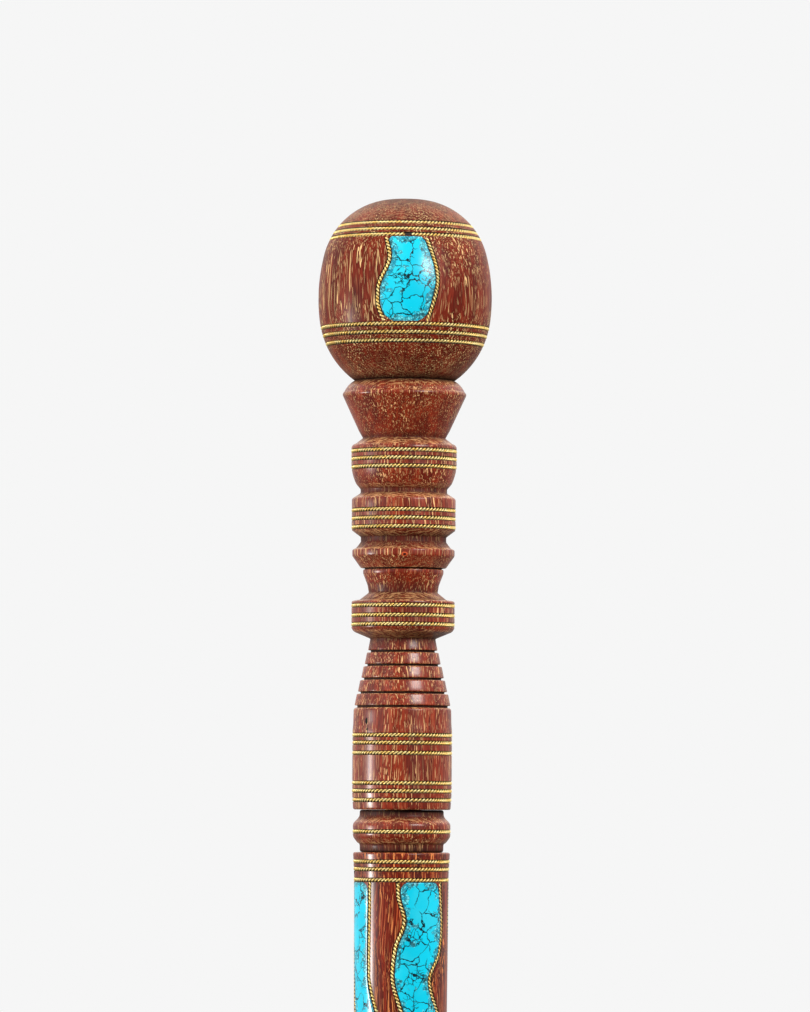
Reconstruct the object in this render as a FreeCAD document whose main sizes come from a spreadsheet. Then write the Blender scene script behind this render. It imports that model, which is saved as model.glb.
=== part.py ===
import FreeCAD, Part
import math
import os
import Sketcher

# Walking stick with a turned hardwood knob handle, twisted brass wire rings and turquoise panels.
# Millimetres, +Z up the stick, origin at the centre of the ferrule's sole.
# Every "depth" is measured down the stick from the crown of the knob, as on a turner's story stick.
# The front of the stick faces -Y. Panel bearings are degrees from the front towards +X.

DIMENSIONS = {
    # Whole stick
    "stick_length": 920.0,
    "seam": 0.05,
    # Twisted wires and inlay recesses
    "wire_width": 1.1,
    "inlay_thickness": 1.2,
    "stencil_reach": 30.0,
    "knob_stencil_start": 15.0,
    "shaft_stencil_start": 6.5,
    # Knob: a nearly flat crown, then shoulder, cheek and underside arcs that run into each other
    "knob_crown_radius": 3.57,
    "knob_crown_depth": 0.08,
    "knob_shoulder_bend": 19.4,
    "knob_shoulder_radius": 21.46,
    "knob_shoulder_depth": 14.5,
    "knob_cheek_bend": 46.7,
    "knob_cheek_radius": 22.58,
    "knob_cheek_depth": 32.6,
    "knob_underside_bend": 22.95,
    "knob_neck_radius": 13.24,
    "knob_neck_depth": 48.2,
    # Threaded stud that ties the knob to the grip
    "knob_stud_radius": 4.0,
    "knob_stud_embed": 24.0,
    "stud_chamfer": 0.5,
    # Knob panels
    "knob_panel_top": 11.25,
    "knob_panel_foot": 33.95,
    "knob_panel_top_round": 1.4,
    "knob_panel_foot_round": 2.6,
    "knob_panel_bearing": 2.5,
    # Cone collar under the knob
    "cone_shoulder_bend": 6.0,
    "cone_shoulder_radius": 15.95,
    "cone_shoulder_depth": 51.2,
    "cone_rim_bend": 0.9,
    "cone_rim_radius": 16.2,
    "cone_rim_depth": 52.5,
    "cone_foot_radius": 12.0,
    "cone_foot_depth": 61.6,
    "neck_1_radius": 10.9,
    "neck_1_depth": 63.5,
    # Collar A, round-shouldered
    "collar_a_shoulder_radius": 12.9,
    "collar_a_shoulder_depth": 65.0,
    "collar_a_shoulder_bend": 1.2,
    "collar_a_radius": 13.95,
    "collar_a_top": 66.2,
    "collar_a_foot": 70.0,
    "collar_a_heel_bend": 12.7,
    "collar_a_heel_radius": 12.6,
    "collar_a_heel_depth": 75.7,
    "neck_2_radius": 11.45,
    "neck_2_top": 77.0,
    "neck_2_foot": 78.1,
    # Collar B, a plain band
    "collar_b_shoulder_radius": 13.2,
    "collar_b_shoulder_depth": 79.2,
    "collar_b_shoulder_bend": 0.9,
    "collar_b_radius": 13.75,
    "collar_b_top": 80.0,
    "collar_b_foot": 87.9,
    "neck_3_radius": 11.3,
    "neck_3_top": 89.7,
    "neck_3_foot": 91.0,
    # Bead C, two bevels and a parting cut below it
    "bead_c_bevel_radius": 12.5,
    "bead_c_bevel_depth": 92.6,
    "bead_c_radius": 13.55,
    "bead_c_top": 93.1,
    "bead_c_foot": 94.7,
    "bead_c_heel_radius": 11.26,
    "bead_c_heel_depth": 97.9,
    "parting_radius": 10.2,
    "parting_foot": 98.25,
    # Cone D
    "cone_d_radius": 10.65,
    "cone_d_top": 98.35,
    "cone_d_foot": 99.3,
    "cone_d_waist_radius": 9.45,
    "cone_d_waist_depth": 102.4,
    "neck_4_radius": 9.1,
    "neck_4_depth": 104.4,
    # Collar E
    "collar_e_bevel_radius": 11.5,
    "collar_e_bevel_depth": 106.3,
    "collar_e_shoulder_radius": 13.35,
    "collar_e_shoulder_depth": 106.6,
    "collar_e_radius": 13.65,
    "collar_e_top": 106.9,
    "collar_e_foot": 113.6,
    "collar_e_heel_bend": 2.0,
    "collar_e_heel_radius": 12.2,
    "collar_e_heel_depth": 115.1,
    # Ribbed neck that widens down to the barrel
    "rib_top": 116.6,
    "rib_pitch": 3.65,
    "rib_height": 3.05,
    "rib_radius": 8.6,
    "rib_growth": 0.87,
    "rib_flare": 0.6,
    "rib_groove": 0.75,
    # Barrel
    "barrel_lip_radius": 12.5,
    "barrel_lip_depth": 134.85,
    "barrel_top_radius": 12.9,
    "barrel_top_depth": 135.3,
    "barrel_swell_radius": 13.0,
    "barrel_swell_depth": 139.2,
    "barrel_radius": 13.15,
    "barrel_top": 141.0,
    "barrel_foot": 157.5,
    "barrel_end_radius": 12.9,
    "barrel_end": 161.75,
    "barrel_chamfer": 0.3,
    # Screw joint: stud glued into the grip, insert glued into the shaft
    "joint_stud_radius": 5.0,
    "joint_stud_embed": 30.0,
    "joint_engagement": 15.0,
    "insert_clearance": 0.05,
    "insert_radius": 7.0,
    "insert_length": 18.0,
    "bead_bore_radius": 5.4,
    # Loose bead between grip and shaft
    "bead_neck_radius": 11.1,
    "bead_neck_depth": 163.4,
    "bead_bevel_radius": 11.6,
    "bead_bevel_depth": 164.1,
    "bead_radius": 12.9,
    "bead_top": 165.4,
    "bead_foot": 168.9,
    "bead_heel_radius": 11.7,
    "bead_heel_depth": 170.5,
    "bead_tail_radius": 11.05,
    "bead_tail_depth": 170.8,
    # Shaft
    "shaft_top": 173.0,
    "shaft_chamfer": 0.3,
    "shaft_lip_radius": 12.8,
    "shaft_shoulder_radius": 12.5,
    "shaft_shoulder_depth": 179.0,
    "tip_radius": 8.0,
    "tip_taper_end": 875.0,
    "tip_chamfer": 0.6,
    # Shaft panels
    "shaft_panel_top": 180.75,
    "shaft_panel_length": 250.0,
    "shaft_panel_top_round": 2.4,
    "shaft_panel_foot_round": 2.4,
    "shaft_panel_bearing": 26.0,
    # Rubber ferrule and the steel washer the tip bears on; ferrule depths are from its own lip
    "ferrule_height": 42.0,
    "ferrule_socket": 31.2,
    "washer_thickness": 1.2,
    "ferrule_band_radius": 12.0,
    "ferrule_band_height": 4.0,
    "ferrule_band_edge": 0.6,
    "ferrule_wall_radius": 11.4,
    "ferrule_waist_radius": 11.7,
    "ferrule_waist_depth": 25.0,
    "ferrule_flare_radius": 15.4,
    "ferrule_flare_depth": 34.5,
    "ferrule_foot_radius": 16.0,
    "ferrule_foot_depth": 36.0,
    "ferrule_sole_round": 1.2,
    "tread_depth": 1.0,
    "tread_width": 2.0,
    "tread_inner_middle": 5.4,
    "tread_pitch": 4.5,
}

# Depths of the twisted wire rings, group by group, to the middle of each wire
WIRE_DEPTHS = {
    "knob_upper_wire": (7.3, 9.1, 10.7),
    "knob_lower_wire": (34.5, 36.6, 38.8),
    "collar_a_wire": (67.0, 69.1, 71.3),
    "collar_b_wire": (82.7, 84.9, 87.2),
    "collar_e_wire": (107.9, 110.5, 112.9),
    "barrel_upper_wire": (142.1, 144.1, 146.8),
    "barrel_lower_wire": (154.7, 156.8, 159.2),
    "joint_bead_wire": (167.5,),
    "shaft_upper_wire": (175.4, 177.4, 180.2),
    "shaft_lower_wire": (431.3, 434.1, 436.1),
}

RIBS = 5
TREAD_RINGS = 2
KNOB_PANELS = 3
SHAFT_PANELS = 4

# Panel edges as hand-set marks: (distance below the panel's top, distance sideways from its middle,
# slant), where slant is how far the edge moves sideways in each millimetre down. They are the middle
# lines of the border wires.
KNOB_LEFT_EDGE = (
    (0.0, -5.9, 0.0),
    (5.2, -5.1, 0.0),
    (14.2, -8.15, 0.0),
    (17.6, -8.2, 0.1),
    (22.7, -6.4, 0.45),
)
KNOB_RIGHT_EDGE = (
    (0.0, 4.5, 0.4),
    (5.3, 6.45, 0.32),
    (11.6, 7.7, 0.0),
    (17.5, 6.6, -0.28),
    (22.7, 4.8, -0.4),
)

# The shaft panels start with a stretch of their own, then one wave repeats down the panel, mirrored
# every second time. Every second panel has a quiet start, nearly straight on its right. A wave is
# left out where less than WAVE_ROOM is left above the panel's foot.
SHAFT_LEFT_START = ((0.0, -6.2, 0.0), (3.0, -6.2, 0.0), (10.2, -4.7, 0.0), (17.4, -6.8, -0.15))
SHAFT_RIGHT_START = ((0.0, 6.15, 0.0), (11.5, 6.95, 0.0), (18.5, 6.1, -0.25))
QUIET_LEFT_START = ((0.0, -6.2, 0.0), (10.0, -6.9, 0.0), (18.0, -5.0, 0.0))
QUIET_RIGHT_START = ((0.0, 4.7, 0.0), (24.0, 4.5, 0.0))
WAVE_START = 24.5
WAVE_LENGTH = 28.0
WAVE_ROOM = 21.0
WAVE_LEFT = ((0.0, -7.45, 0.0), (14.0, -4.7, 0.0))
WAVE_RIGHT = ((1.2, 2.7, 0.0), (14.5, 6.9, 0.0))
SHAFT_EDGE_END = 6.2

# Differences too small to matter: along an edge or level in millimetres, and of a heading as a slope
NEAR = 0.01
STRAIGHT = 1e-6


class Size:
    """A dimension that carries its value and the sheet expression it comes from."""

    def __init__(self, value, text):
        self.value = value
        self.text = text

    def __add__(self, other):
        other = as_size(other)
        return Size(self.value + other.value, f"({self.text} + {other.text})")

    def __sub__(self, other):
        other = as_size(other)
        return Size(self.value - other.value, f"({self.text} - {other.text})")

    def __mul__(self, factor):
        return Size(self.value * factor, f"({self.text} * {factor})")


def as_size(number):
    """A Size as it is, and a plain number as a Size of that many millimetres."""
    if isinstance(number, Size):
        return number
    return Size(float(number), str(number))


ZERO = as_size(0.0)


def make_sheet(doc):
    """Writes the driving dimensions into the sheet and returns them by alias."""
    sheet = doc.addObject("Spreadsheet::Sheet", "dims")
    cells = dict(DIMENSIONS)
    for group, depths in WIRE_DEPTHS.items():
        for number, depth in enumerate(depths, start=1):
            cells[f"{group}_{number}_depth"] = depth
    for row, (alias, value) in enumerate(cells.items(), start=1):
        sheet.set(f"A{row}", alias)
        sheet.set(f"B{row}", str(value))
        sheet.setAlias(f"B{row}", alias)
    doc.recompute()
    return {alias: Size(value, f"dims.{alias}") for alias, value in cells.items()}


def origin_plane(body, role):
    """The body's own origin plane with that role."""
    return next(feature for feature in body.Origin.OriginFeatures if feature.Role == role)


def new_body(doc, name, height):
    """An empty body whose local zero is at that height above the sole."""
    body = doc.addObject("PartDesign::Body", name)
    body.Label = name.replace("_", " ")
    body.Placement.Base.z = height.value
    body.setExpression("Placement.Base.z", height.text)
    return body


def new_sketch(body, name, role):
    """An empty sketch on one of the body's origin planes."""
    sketch = body.newObject("Sketcher::SketchObject", name)
    sketch.AttachmentSupport = [(origin_plane(body, role), "")]
    sketch.MapMode = "FlatFace"
    return sketch


def bulging_arc(upper, lower, bend):
    """The arc from the lower point up to the upper one that bulges away from the axis."""
    chord = upper - lower
    middle = (upper + lower) * 0.5
    sagitta = math.sqrt(bend**2 - (chord.Length / 2) ** 2)
    inward = FreeCAD.Vector(-chord.y, chord.x, 0).normalize()
    centre = middle + inward * sagitta
    first = math.atan2(lower.y - centre.y, lower.x - centre.x)
    last = math.atan2(upper.y - centre.y, upper.x - centre.x)
    return Part.ArcOfCircle(Part.Circle(centre, FreeCAD.Vector(0, 0, 1), bend), first, last)


def draw_outline(sketch, corners):
    """Joins (radius, depth) corners by lines, or by an arc where a corner adds the bend it ends."""
    points = [FreeCAD.Vector(corner[0].value, -corner[1].value, 0) for corner in corners]
    edge_ends = []
    for index, corner in enumerate(corners):
        start = points[index - 1]
        end = points[index]
        if len(corner) == 2:
            sketch.addGeometry(Part.LineSegment(start, end), False)
            edge_ends.append((1, 2))
        else:
            sketch.addGeometry(bulging_arc(start, end, corner[2].value), False)
            edge_ends.append((2, 1))
    constraints = []
    bound = []
    for index, corner in enumerate(corners):
        following = (index + 1) % len(corners)
        end = edge_ends[index][1]
        constraints.append(
            Sketcher.Constraint("Coincident", index, end, following, edge_ends[following][0])
        )
        radius, depth = corner[:2]
        if radius.value == 0:
            constraints.append(Sketcher.Constraint("PointOnObject", index, end, -2))
        else:
            bound.append((len(constraints), radius))
            constraints.append(Sketcher.Constraint("DistanceX", -1, 1, index, end, radius.value))
        if depth.value == 0:
            constraints.append(Sketcher.Constraint("PointOnObject", index, end, -1))
        else:
            bound.append((len(constraints), depth))
            constraints.append(Sketcher.Constraint("DistanceY", index, end, -1, 1, depth.value))
        if len(corner) == 3:
            bound.append((len(constraints), corner[2]))
            constraints.append(Sketcher.Constraint("Radius", index, corner[2].value))
    sketch.addConstraint(constraints)
    for position, size in bound:
        sketch.setExpression(f"Constraints[{position}]", size.text)


def turned(doc, name, corners, height):
    """A piece turned on the lathe from an outline whose zero depth is at that height."""
    body = new_body(doc, name, height)
    sketch = new_sketch(body, name + "_outline", "XZ_Plane")
    draw_outline(sketch, corners)
    turning = body.newObject("PartDesign::Revolution", name + "_turning")
    turning.Profile = sketch
    turning.ReferenceAxis = (sketch, ["V_Axis"])
    turning.Angle = 360
    body.Tip = turning
    return body


def knob_outline(dim, inset):
    """The knob from its crown to its neck, with the stud's hole up its middle."""
    hole_top = dim["knob_neck_depth"] - dim["knob_stud_embed"]
    return (
        (ZERO, ZERO + inset),
        (dim["knob_crown_radius"] - inset, dim["knob_crown_depth"] + inset),
        (
            dim["knob_shoulder_radius"] - inset,
            dim["knob_shoulder_depth"],
            dim["knob_shoulder_bend"] - inset,
        ),
        (dim["knob_cheek_radius"] - inset, dim["knob_cheek_depth"], dim["knob_cheek_bend"]),
        (dim["knob_neck_radius"] - inset, dim["knob_neck_depth"], dim["knob_underside_bend"]),
        (dim["knob_stud_radius"], dim["knob_neck_depth"]),
        (dim["knob_stud_radius"], hole_top),
        (ZERO, hole_top),
    )


def rib_corners(dim, inset):
    """The ribbed neck: each rib flares downwards and ends in a parting groove."""
    corners = []
    for rib in range(RIBS):
        top = dim["rib_top"] + dim["rib_pitch"] * rib
        radius = dim["rib_radius"] + dim["rib_growth"] * rib - inset
        foot = top + dim["rib_height"]
        groove_radius = radius + dim["rib_flare"] - dim["rib_groove"]
        corners.append((radius, top))
        corners.append((radius + dim["rib_flare"], foot))
        corners.append((groove_radius, foot))
        corners.append((groove_radius, dim["rib_top"] + dim["rib_pitch"] * (rib + 1)))
    return corners


def grip_outline(dim, inset):
    """The grip from the cone collar to the barrel, with a stud's hole in each end."""

    def mark(radius, depth, bend=None):
        corner = (dim[radius] - inset, dim[depth])
        return corner if bend is None else corner + (dim[bend],)

    top = dim["knob_neck_depth"] + dim["seam"]
    upper_hole = dim["knob_neck_depth"] + dim["knob_stud_embed"]
    lower_hole = dim["barrel_end"] - dim["joint_stud_embed"]
    return (
        (dim["knob_stud_radius"], top),
        (dim["knob_neck_radius"] - inset, top),
        mark("cone_shoulder_radius", "cone_shoulder_depth", "cone_shoulder_bend"),
        mark("cone_rim_radius", "cone_rim_depth", "cone_rim_bend"),
        mark("cone_foot_radius", "cone_foot_depth"),
        mark("neck_1_radius", "neck_1_depth"),
        mark("collar_a_shoulder_radius", "collar_a_shoulder_depth"),
        mark("collar_a_radius", "collar_a_top", "collar_a_shoulder_bend"),
        mark("collar_a_radius", "collar_a_foot"),
        mark("collar_a_heel_radius", "collar_a_heel_depth", "collar_a_heel_bend"),
        mark("neck_2_radius", "neck_2_top"),
        mark("neck_2_radius", "neck_2_foot"),
        mark("collar_b_shoulder_radius", "collar_b_shoulder_depth"),
        mark("collar_b_radius", "collar_b_top", "collar_b_shoulder_bend"),
        mark("collar_b_radius", "collar_b_foot"),
        mark("neck_3_radius", "neck_3_top"),
        mark("neck_3_radius", "neck_3_foot"),
        mark("bead_c_bevel_radius", "bead_c_bevel_depth"),
        mark("bead_c_radius", "bead_c_top"),
        mark("bead_c_radius", "bead_c_foot"),
        mark("bead_c_heel_radius", "bead_c_heel_depth"),
        mark("parting_radius", "bead_c_heel_depth"),
        mark("parting_radius", "parting_foot"),
        mark("cone_d_radius", "cone_d_top"),
        mark("cone_d_radius", "cone_d_foot"),
        mark("cone_d_waist_radius", "cone_d_waist_depth"),
        mark("neck_4_radius", "neck_4_depth"),
        mark("collar_e_bevel_radius", "collar_e_bevel_depth"),
        mark("collar_e_shoulder_radius", "collar_e_shoulder_depth"),
        mark("collar_e_radius", "collar_e_top"),
        mark("collar_e_radius", "collar_e_foot"),
        mark("collar_e_heel_radius", "collar_e_heel_depth", "collar_e_heel_bend"),
        *rib_corners(dim, inset),
        mark("barrel_lip_radius", "barrel_lip_depth"),
        mark("barrel_top_radius", "barrel_top_depth"),
        mark("barrel_swell_radius", "barrel_swell_depth"),
        mark("barrel_radius", "barrel_top"),
        mark("barrel_radius", "barrel_foot"),
        (dim["barrel_end_radius"] - inset, dim["barrel_end"] - dim["barrel_chamfer"]),
        (dim["barrel_end_radius"] - dim["barrel_chamfer"] - inset, dim["barrel_end"]),
        (dim["joint_stud_radius"], dim["barrel_end"]),
        (dim["joint_stud_radius"], lower_hole),
        (ZERO, lower_hole),
        (ZERO, upper_hole),
        (dim["knob_stud_radius"], upper_hole),
    )


def bead_outline(dim, inset):
    """The loose bead: a band between two short necks, bored through for the joint stud."""
    top = dim["barrel_end"] + dim["seam"]
    foot = dim["shaft_top"] - dim["seam"]
    return (
        (dim["bead_bore_radius"], top),
        (dim["bead_neck_radius"] - inset, top),
        (dim["bead_neck_radius"] - inset, dim["bead_neck_depth"]),
        (dim["bead_bevel_radius"] - inset, dim["bead_bevel_depth"]),
        (dim["bead_radius"] - inset, dim["bead_top"]),
        (dim["bead_radius"] - inset, dim["bead_foot"]),
        (dim["bead_heel_radius"] - inset, dim["bead_heel_depth"]),
        (dim["bead_tail_radius"] - inset, dim["bead_tail_depth"]),
        (dim["bead_tail_radius"] - inset, foot),
        (dim["bead_bore_radius"], foot),
    )


def shaft_outline(dim, inset):
    """The tapered shaft, bored at the top for the insert and parallel where the ferrule goes."""
    bore_end = dim["shaft_top"] + dim["insert_length"]
    end = dim["stick_length"] - dim["ferrule_height"] + dim["ferrule_socket"] - dim["washer_thickness"]
    return (
        (dim["insert_radius"], dim["shaft_top"]),
        (dim["shaft_lip_radius"] - dim["shaft_chamfer"] - inset, dim["shaft_top"]),
        (dim["shaft_lip_radius"] - inset, dim["shaft_top"] + dim["shaft_chamfer"]),
        (dim["shaft_shoulder_radius"] - inset, dim["shaft_shoulder_depth"]),
        (dim["tip_radius"] - inset, dim["tip_taper_end"]),
        (dim["tip_radius"] - inset, end - dim["tip_chamfer"]),
        (dim["tip_radius"] - dim["tip_chamfer"] - inset, end),
        (ZERO, end),
        (ZERO, bore_end),
        (dim["insert_radius"], bore_end),
    )


def stud_outline(dim, radius, top, foot):
    """A threaded stud as the plain cylinder of its crests, with chamfered ends."""
    chamfer = dim["stud_chamfer"]
    return (
        (ZERO, top),
        (radius - chamfer, top),
        (radius, top + chamfer),
        (radius, foot - chamfer),
        (radius - chamfer, foot),
        (ZERO, foot),
    )


def insert_outline(dim):
    """The brass insert glued flush into the shaft's top."""
    bore = dim["joint_stud_radius"] + dim["insert_clearance"]
    foot = dim["shaft_top"] + dim["insert_length"]
    return (
        (bore, dim["shaft_top"]),
        (dim["insert_radius"], dim["shaft_top"]),
        (dim["insert_radius"], foot),
        (bore, foot),
    )


def ferrule_outline(dim):
    """The rubber ferrule: a banded socket above a flared foot with ring treads in its sole."""
    band_edge = dim["ferrule_band_edge"]
    sole = dim["ferrule_height"]
    tread_top = sole - dim["tread_depth"]
    corners = [
        (dim["tip_radius"], ZERO),
        (dim["ferrule_band_radius"] - band_edge, ZERO),
        (dim["ferrule_band_radius"], band_edge),
        (dim["ferrule_band_radius"], dim["ferrule_band_height"] - band_edge),
        (dim["ferrule_wall_radius"], dim["ferrule_band_height"]),
        (dim["ferrule_waist_radius"], dim["ferrule_waist_depth"]),
        (dim["ferrule_flare_radius"], dim["ferrule_flare_depth"]),
        (dim["ferrule_foot_radius"], dim["ferrule_foot_depth"]),
        (dim["ferrule_foot_radius"], sole - dim["ferrule_sole_round"]),
        (dim["ferrule_foot_radius"] - dim["ferrule_sole_round"], sole, dim["ferrule_sole_round"]),
    ]
    for ring in reversed(range(TREAD_RINGS)):
        middle = dim["tread_inner_middle"] + dim["tread_pitch"] * ring
        outer = middle + dim["tread_width"] * 0.5
        inner = middle - dim["tread_width"] * 0.5
        corners.append((outer, sole))
        corners.append((outer, tread_top))
        corners.append((inner, tread_top))
        corners.append((inner, sole))
    corners.append((ZERO, sole))
    corners.append((ZERO, dim["ferrule_socket"]))
    corners.append((dim["tip_radius"], dim["ferrule_socket"]))
    return corners


def washer_outline(dim):
    """The steel washer at the bottom of the ferrule's socket."""
    top = dim["ferrule_socket"] - dim["washer_thickness"]
    return (
        (ZERO, top),
        (dim["tip_radius"], top),
        (dim["tip_radius"], dim["ferrule_socket"]),
        (ZERO, dim["ferrule_socket"]),
    )


def ring_stencil(doc, dim, name, depth):
    """A disc as thick as the wire is wide, at the height where the wire lies."""
    disc = doc.addObject("Part::Cylinder", name + "_stencil")
    disc.setExpression("Radius", dim["stencil_reach"].text)
    disc.setExpression("Height", dim["wire_width"].text)
    base = dim["stick_length"] - depth - dim["wire_width"] * 0.5
    disc.setExpression("Placement.Base.z", base.text)
    return disc


def unit(x, y):
    """The unit vector along (x, y) in a sketch."""
    return FreeCAD.Vector(x, y, 0).normalize()


def joining_point(start, heading, end, last_heading):
    """Where two arcs meet that leave one point and reach another on given headings."""
    chord = end - start
    both = heading + last_heading
    bend = 2 * (1 - heading.dot(last_heading))
    if bend < STRAIGHT**2:
        reach = chord.dot(chord) / (2 * chord.dot(both))
    else:
        along = chord.dot(both)
        reach = (math.sqrt(along**2 + bend * chord.dot(chord)) - along) / bend
    return (start + end + (heading - last_heading) * reach) * 0.5


def turned_heading(start, heading, end):
    """The heading on which an arc reaches its end, after leaving its start on a given heading."""
    chord = (end - start).normalize()
    return chord * (2 * heading.dot(chord)) - heading


def edge_path(marks, top):
    """The points of a smooth edge and its heading at each, from the upper end to the lower."""
    nodes = []
    for depth, across, slant in marks:
        point = FreeCAD.Vector(across, -(top + depth), 0)
        heading = unit(slant, -1)
        if nodes and (point - nodes[-1][0]).cross(heading).Length + abs(slant) > STRAIGHT:
            start, leaving = nodes[-1]
            middle = joining_point(start, leaving, point, heading)
            nodes.append((middle, turned_heading(start, leaving, middle)))
        nodes.append((point, heading))
    return nodes


def edge_curves(path, sideways):
    """The path's arcs and straight runs, moved sideways by a fixed distance but ending level."""
    moved = []
    for point, heading in path:
        moved.append((point + FreeCAD.Vector(-heading.y, heading.x, 0) * sideways, heading))
    for end in (0, -1):
        point, heading = moved[end]
        overrun = (path[end][0].y - point.y) / heading.y
        moved[end] = (point + heading * overrun, heading)
    curves = []
    for (start, heading), (end, _) in zip(moved, moved[1:]):
        chord = end - start
        across = heading.x * chord.y - heading.y * chord.x
        if abs(across) < STRAIGHT * chord.Length:
            curves.append(Part.LineSegment(start, end))
            continue
        half_turn = turned_heading(start, heading, end) + heading
        normal = FreeCAD.Vector(-half_turn.y, half_turn.x, 0).normalize()
        sagitta = chord.Length / 2 * math.tan(math.asin(across / chord.Length) / 2)
        curves.append(Part.Arc(start, (start + end) * 0.5 - normal * sagitta, end))
    return curves


def edge_stencil(doc, dim, name, left, right, top, bearing, start):
    """A block that reaches outwards at that bearing, bounded by two edges and two levels.

    Each edge is (path, sideways shift). The block starts at that distance from the axis, under the
    recess's floor, so that neighbouring blocks stay apart.
    """
    body = new_body(doc, name + "_stencil", dim["stick_length"])
    turn = (bearing.value - 90.0) % 360.0
    body.Placement.Rotation = FreeCAD.Rotation(FreeCAD.Vector(0, 0, 1), turn)
    sketch = new_sketch(body, name + "_edges", "YZ_Plane")
    sketch.AttachmentOffset.Base.z = start.value
    sketch.setExpression("AttachmentOffset.Base.z", start.text)
    left_curves = edge_curves(*left)
    right_curves = edge_curves(*right)
    foot = Part.LineSegment(left_curves[-1].EndPoint, right_curves[-1].EndPoint)
    head = Part.LineSegment(right_curves[0].StartPoint, left_curves[0].StartPoint)
    for curve in (*left_curves, foot, *reversed(right_curves), head):
        sketch.addGeometry(curve, False)
    block = body.newObject("PartDesign::Pad", name + "_block")
    block.Profile = sketch
    block.setExpression("Length", dim["stencil_reach"].text)
    body.Tip = block
    return body


def round_corners(doc, body, level, size):
    """Rounds the block's two long corners at that level."""
    doc.recompute()
    block = body.Tip
    edges = []
    for number, edge in enumerate(block.Shape.Edges, start=1):
        box = edge.BoundBox
        at_level = abs(box.ZMin + level.value) < NEAR and abs(box.ZMax + level.value) < NEAR
        if at_level and box.XLength > NEAR and box.YLength < NEAR:
            edges.append(f"Edge{number}")
    rounding = body.newObject("PartDesign::Fillet", block.Name + "_round")
    rounding.Base = (block, edges)
    rounding.setExpression("Radius", size.text)
    body.Tip = rounding


def panel_with_borders(doc, dim, name, edges, levels, rounds, bearing, start):
    """Stencils of a turquoise panel and of the twisted wires down its left and right edges."""
    half_wire = dim["wire_width"].value / 2
    top, foot = levels
    left, right = (edge_path(marks, top.value) for marks in edges)
    between = ((left, half_wire), (right, -half_wire))
    panel = edge_stencil(doc, dim, name, *between, top, bearing, start)
    round_corners(doc, panel, top, rounds[0])
    round_corners(doc, panel, foot, rounds[1])
    stencils = {name: panel}
    for side, path in (("left", left), ("right", right)):
        border = name.replace("turquoise", "border") + "_" + side
        across = ((path, -half_wire), (path, half_wire))
        stencils[border] = edge_stencil(doc, dim, border, *across, top, bearing, start)
    return stencils


def knob_panels(doc, dim):
    """The knob's panels, evenly spaced round it."""
    edges = (KNOB_LEFT_EDGE, KNOB_RIGHT_EDGE)
    levels = (dim["knob_panel_top"], dim["knob_panel_foot"])
    rounds = (dim["knob_panel_top_round"], dim["knob_panel_foot_round"])
    start = dim["knob_stencil_start"]
    stencils = {}
    for number in range(KNOB_PANELS):
        bearing = dim["knob_panel_bearing"] + number * 360 / KNOB_PANELS
        name = f"knob_turquoise_{number + 1}"
        stencils.update(panel_with_borders(doc, dim, name, edges, levels, rounds, bearing, start))
    return stencils


def wavy_edges(dim, quiet):
    """Left and right edge marks down a shaft panel. They draw in with the shaft's taper."""
    length = dim["shaft_panel_length"].value
    left = list(QUIET_LEFT_START if quiet else SHAFT_LEFT_START)
    right = list(QUIET_RIGHT_START if quiet else SHAFT_RIGHT_START)
    offset = WAVE_START + (WAVE_LENGTH / 2 if quiet else 0)
    mirrored = quiet
    while offset + WAVE_ROOM < length:
        wave_left, wave_right = WAVE_LEFT, WAVE_RIGHT
        if mirrored:
            wave_left = [(depth, -across, slant) for depth, across, slant in WAVE_RIGHT]
            wave_right = [(depth, -across, slant) for depth, across, slant in WAVE_LEFT]
        left.extend((offset + depth, across, slant) for depth, across, slant in wave_left)
        right.extend((offset + depth, across, slant) for depth, across, slant in wave_right)
        offset += WAVE_LENGTH
        mirrored = not mirrored
    left.append((length, -SHAFT_EDGE_END, 0.0))
    right.append((length, SHAFT_EDGE_END, 0.0))
    wide = dim["shaft_shoulder_radius"].value
    taper_length = dim["tip_taper_end"].value - dim["shaft_shoulder_depth"].value
    narrowing = (wide - dim["tip_radius"].value) / taper_length / wide
    return [
        [(depth, across * (1 - narrowing * depth), slant) for depth, across, slant in edge]
        for edge in (left, right)
    ]


def shaft_panels(doc, dim):
    """The shaft's long panels, evenly spaced round it; every second one starts quiet."""
    levels = (dim["shaft_panel_top"], dim["shaft_panel_top"] + dim["shaft_panel_length"])
    rounds = (dim["shaft_panel_top_round"], dim["shaft_panel_foot_round"])
    start = dim["shaft_stencil_start"]
    stencils = {}
    for number in range(SHAFT_PANELS):
        edges = wavy_edges(dim, quiet=number % 2 == 1)
        bearing = dim["shaft_panel_bearing"] - number * 360 / SHAFT_PANELS
        name = f"shaft_turquoise_{number + 1}"
        stencils.update(panel_with_borders(doc, dim, name, edges, levels, rounds, bearing, start))
    return stencils


def ring_stencils(doc, dim, groups):
    """Stencils of every wire ring in those groups."""
    stencils = {}
    for group in groups:
        for number in range(1, len(WIRE_DEPTHS[group]) + 1):
            name = f"{group}_{number}"
            stencils[name] = ring_stencil(doc, dim, name, dim[f"{name}_depth"])
    return stencils


def boolean(doc, kind, name, base, tool):
    """A Part::Cut or Part::Common of two objects."""
    result = doc.addObject("Part::" + kind, name)
    result.Base = base
    result.Tool = tool
    return result


def joined(doc, name, recesses):
    """All the recesses of a piece as one shape."""
    if len(recesses) == 1:
        return recesses[0]
    union = doc.addObject("Part::MultiFuse", name + "_recesses")
    union.Shapes = recesses
    return union


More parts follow.
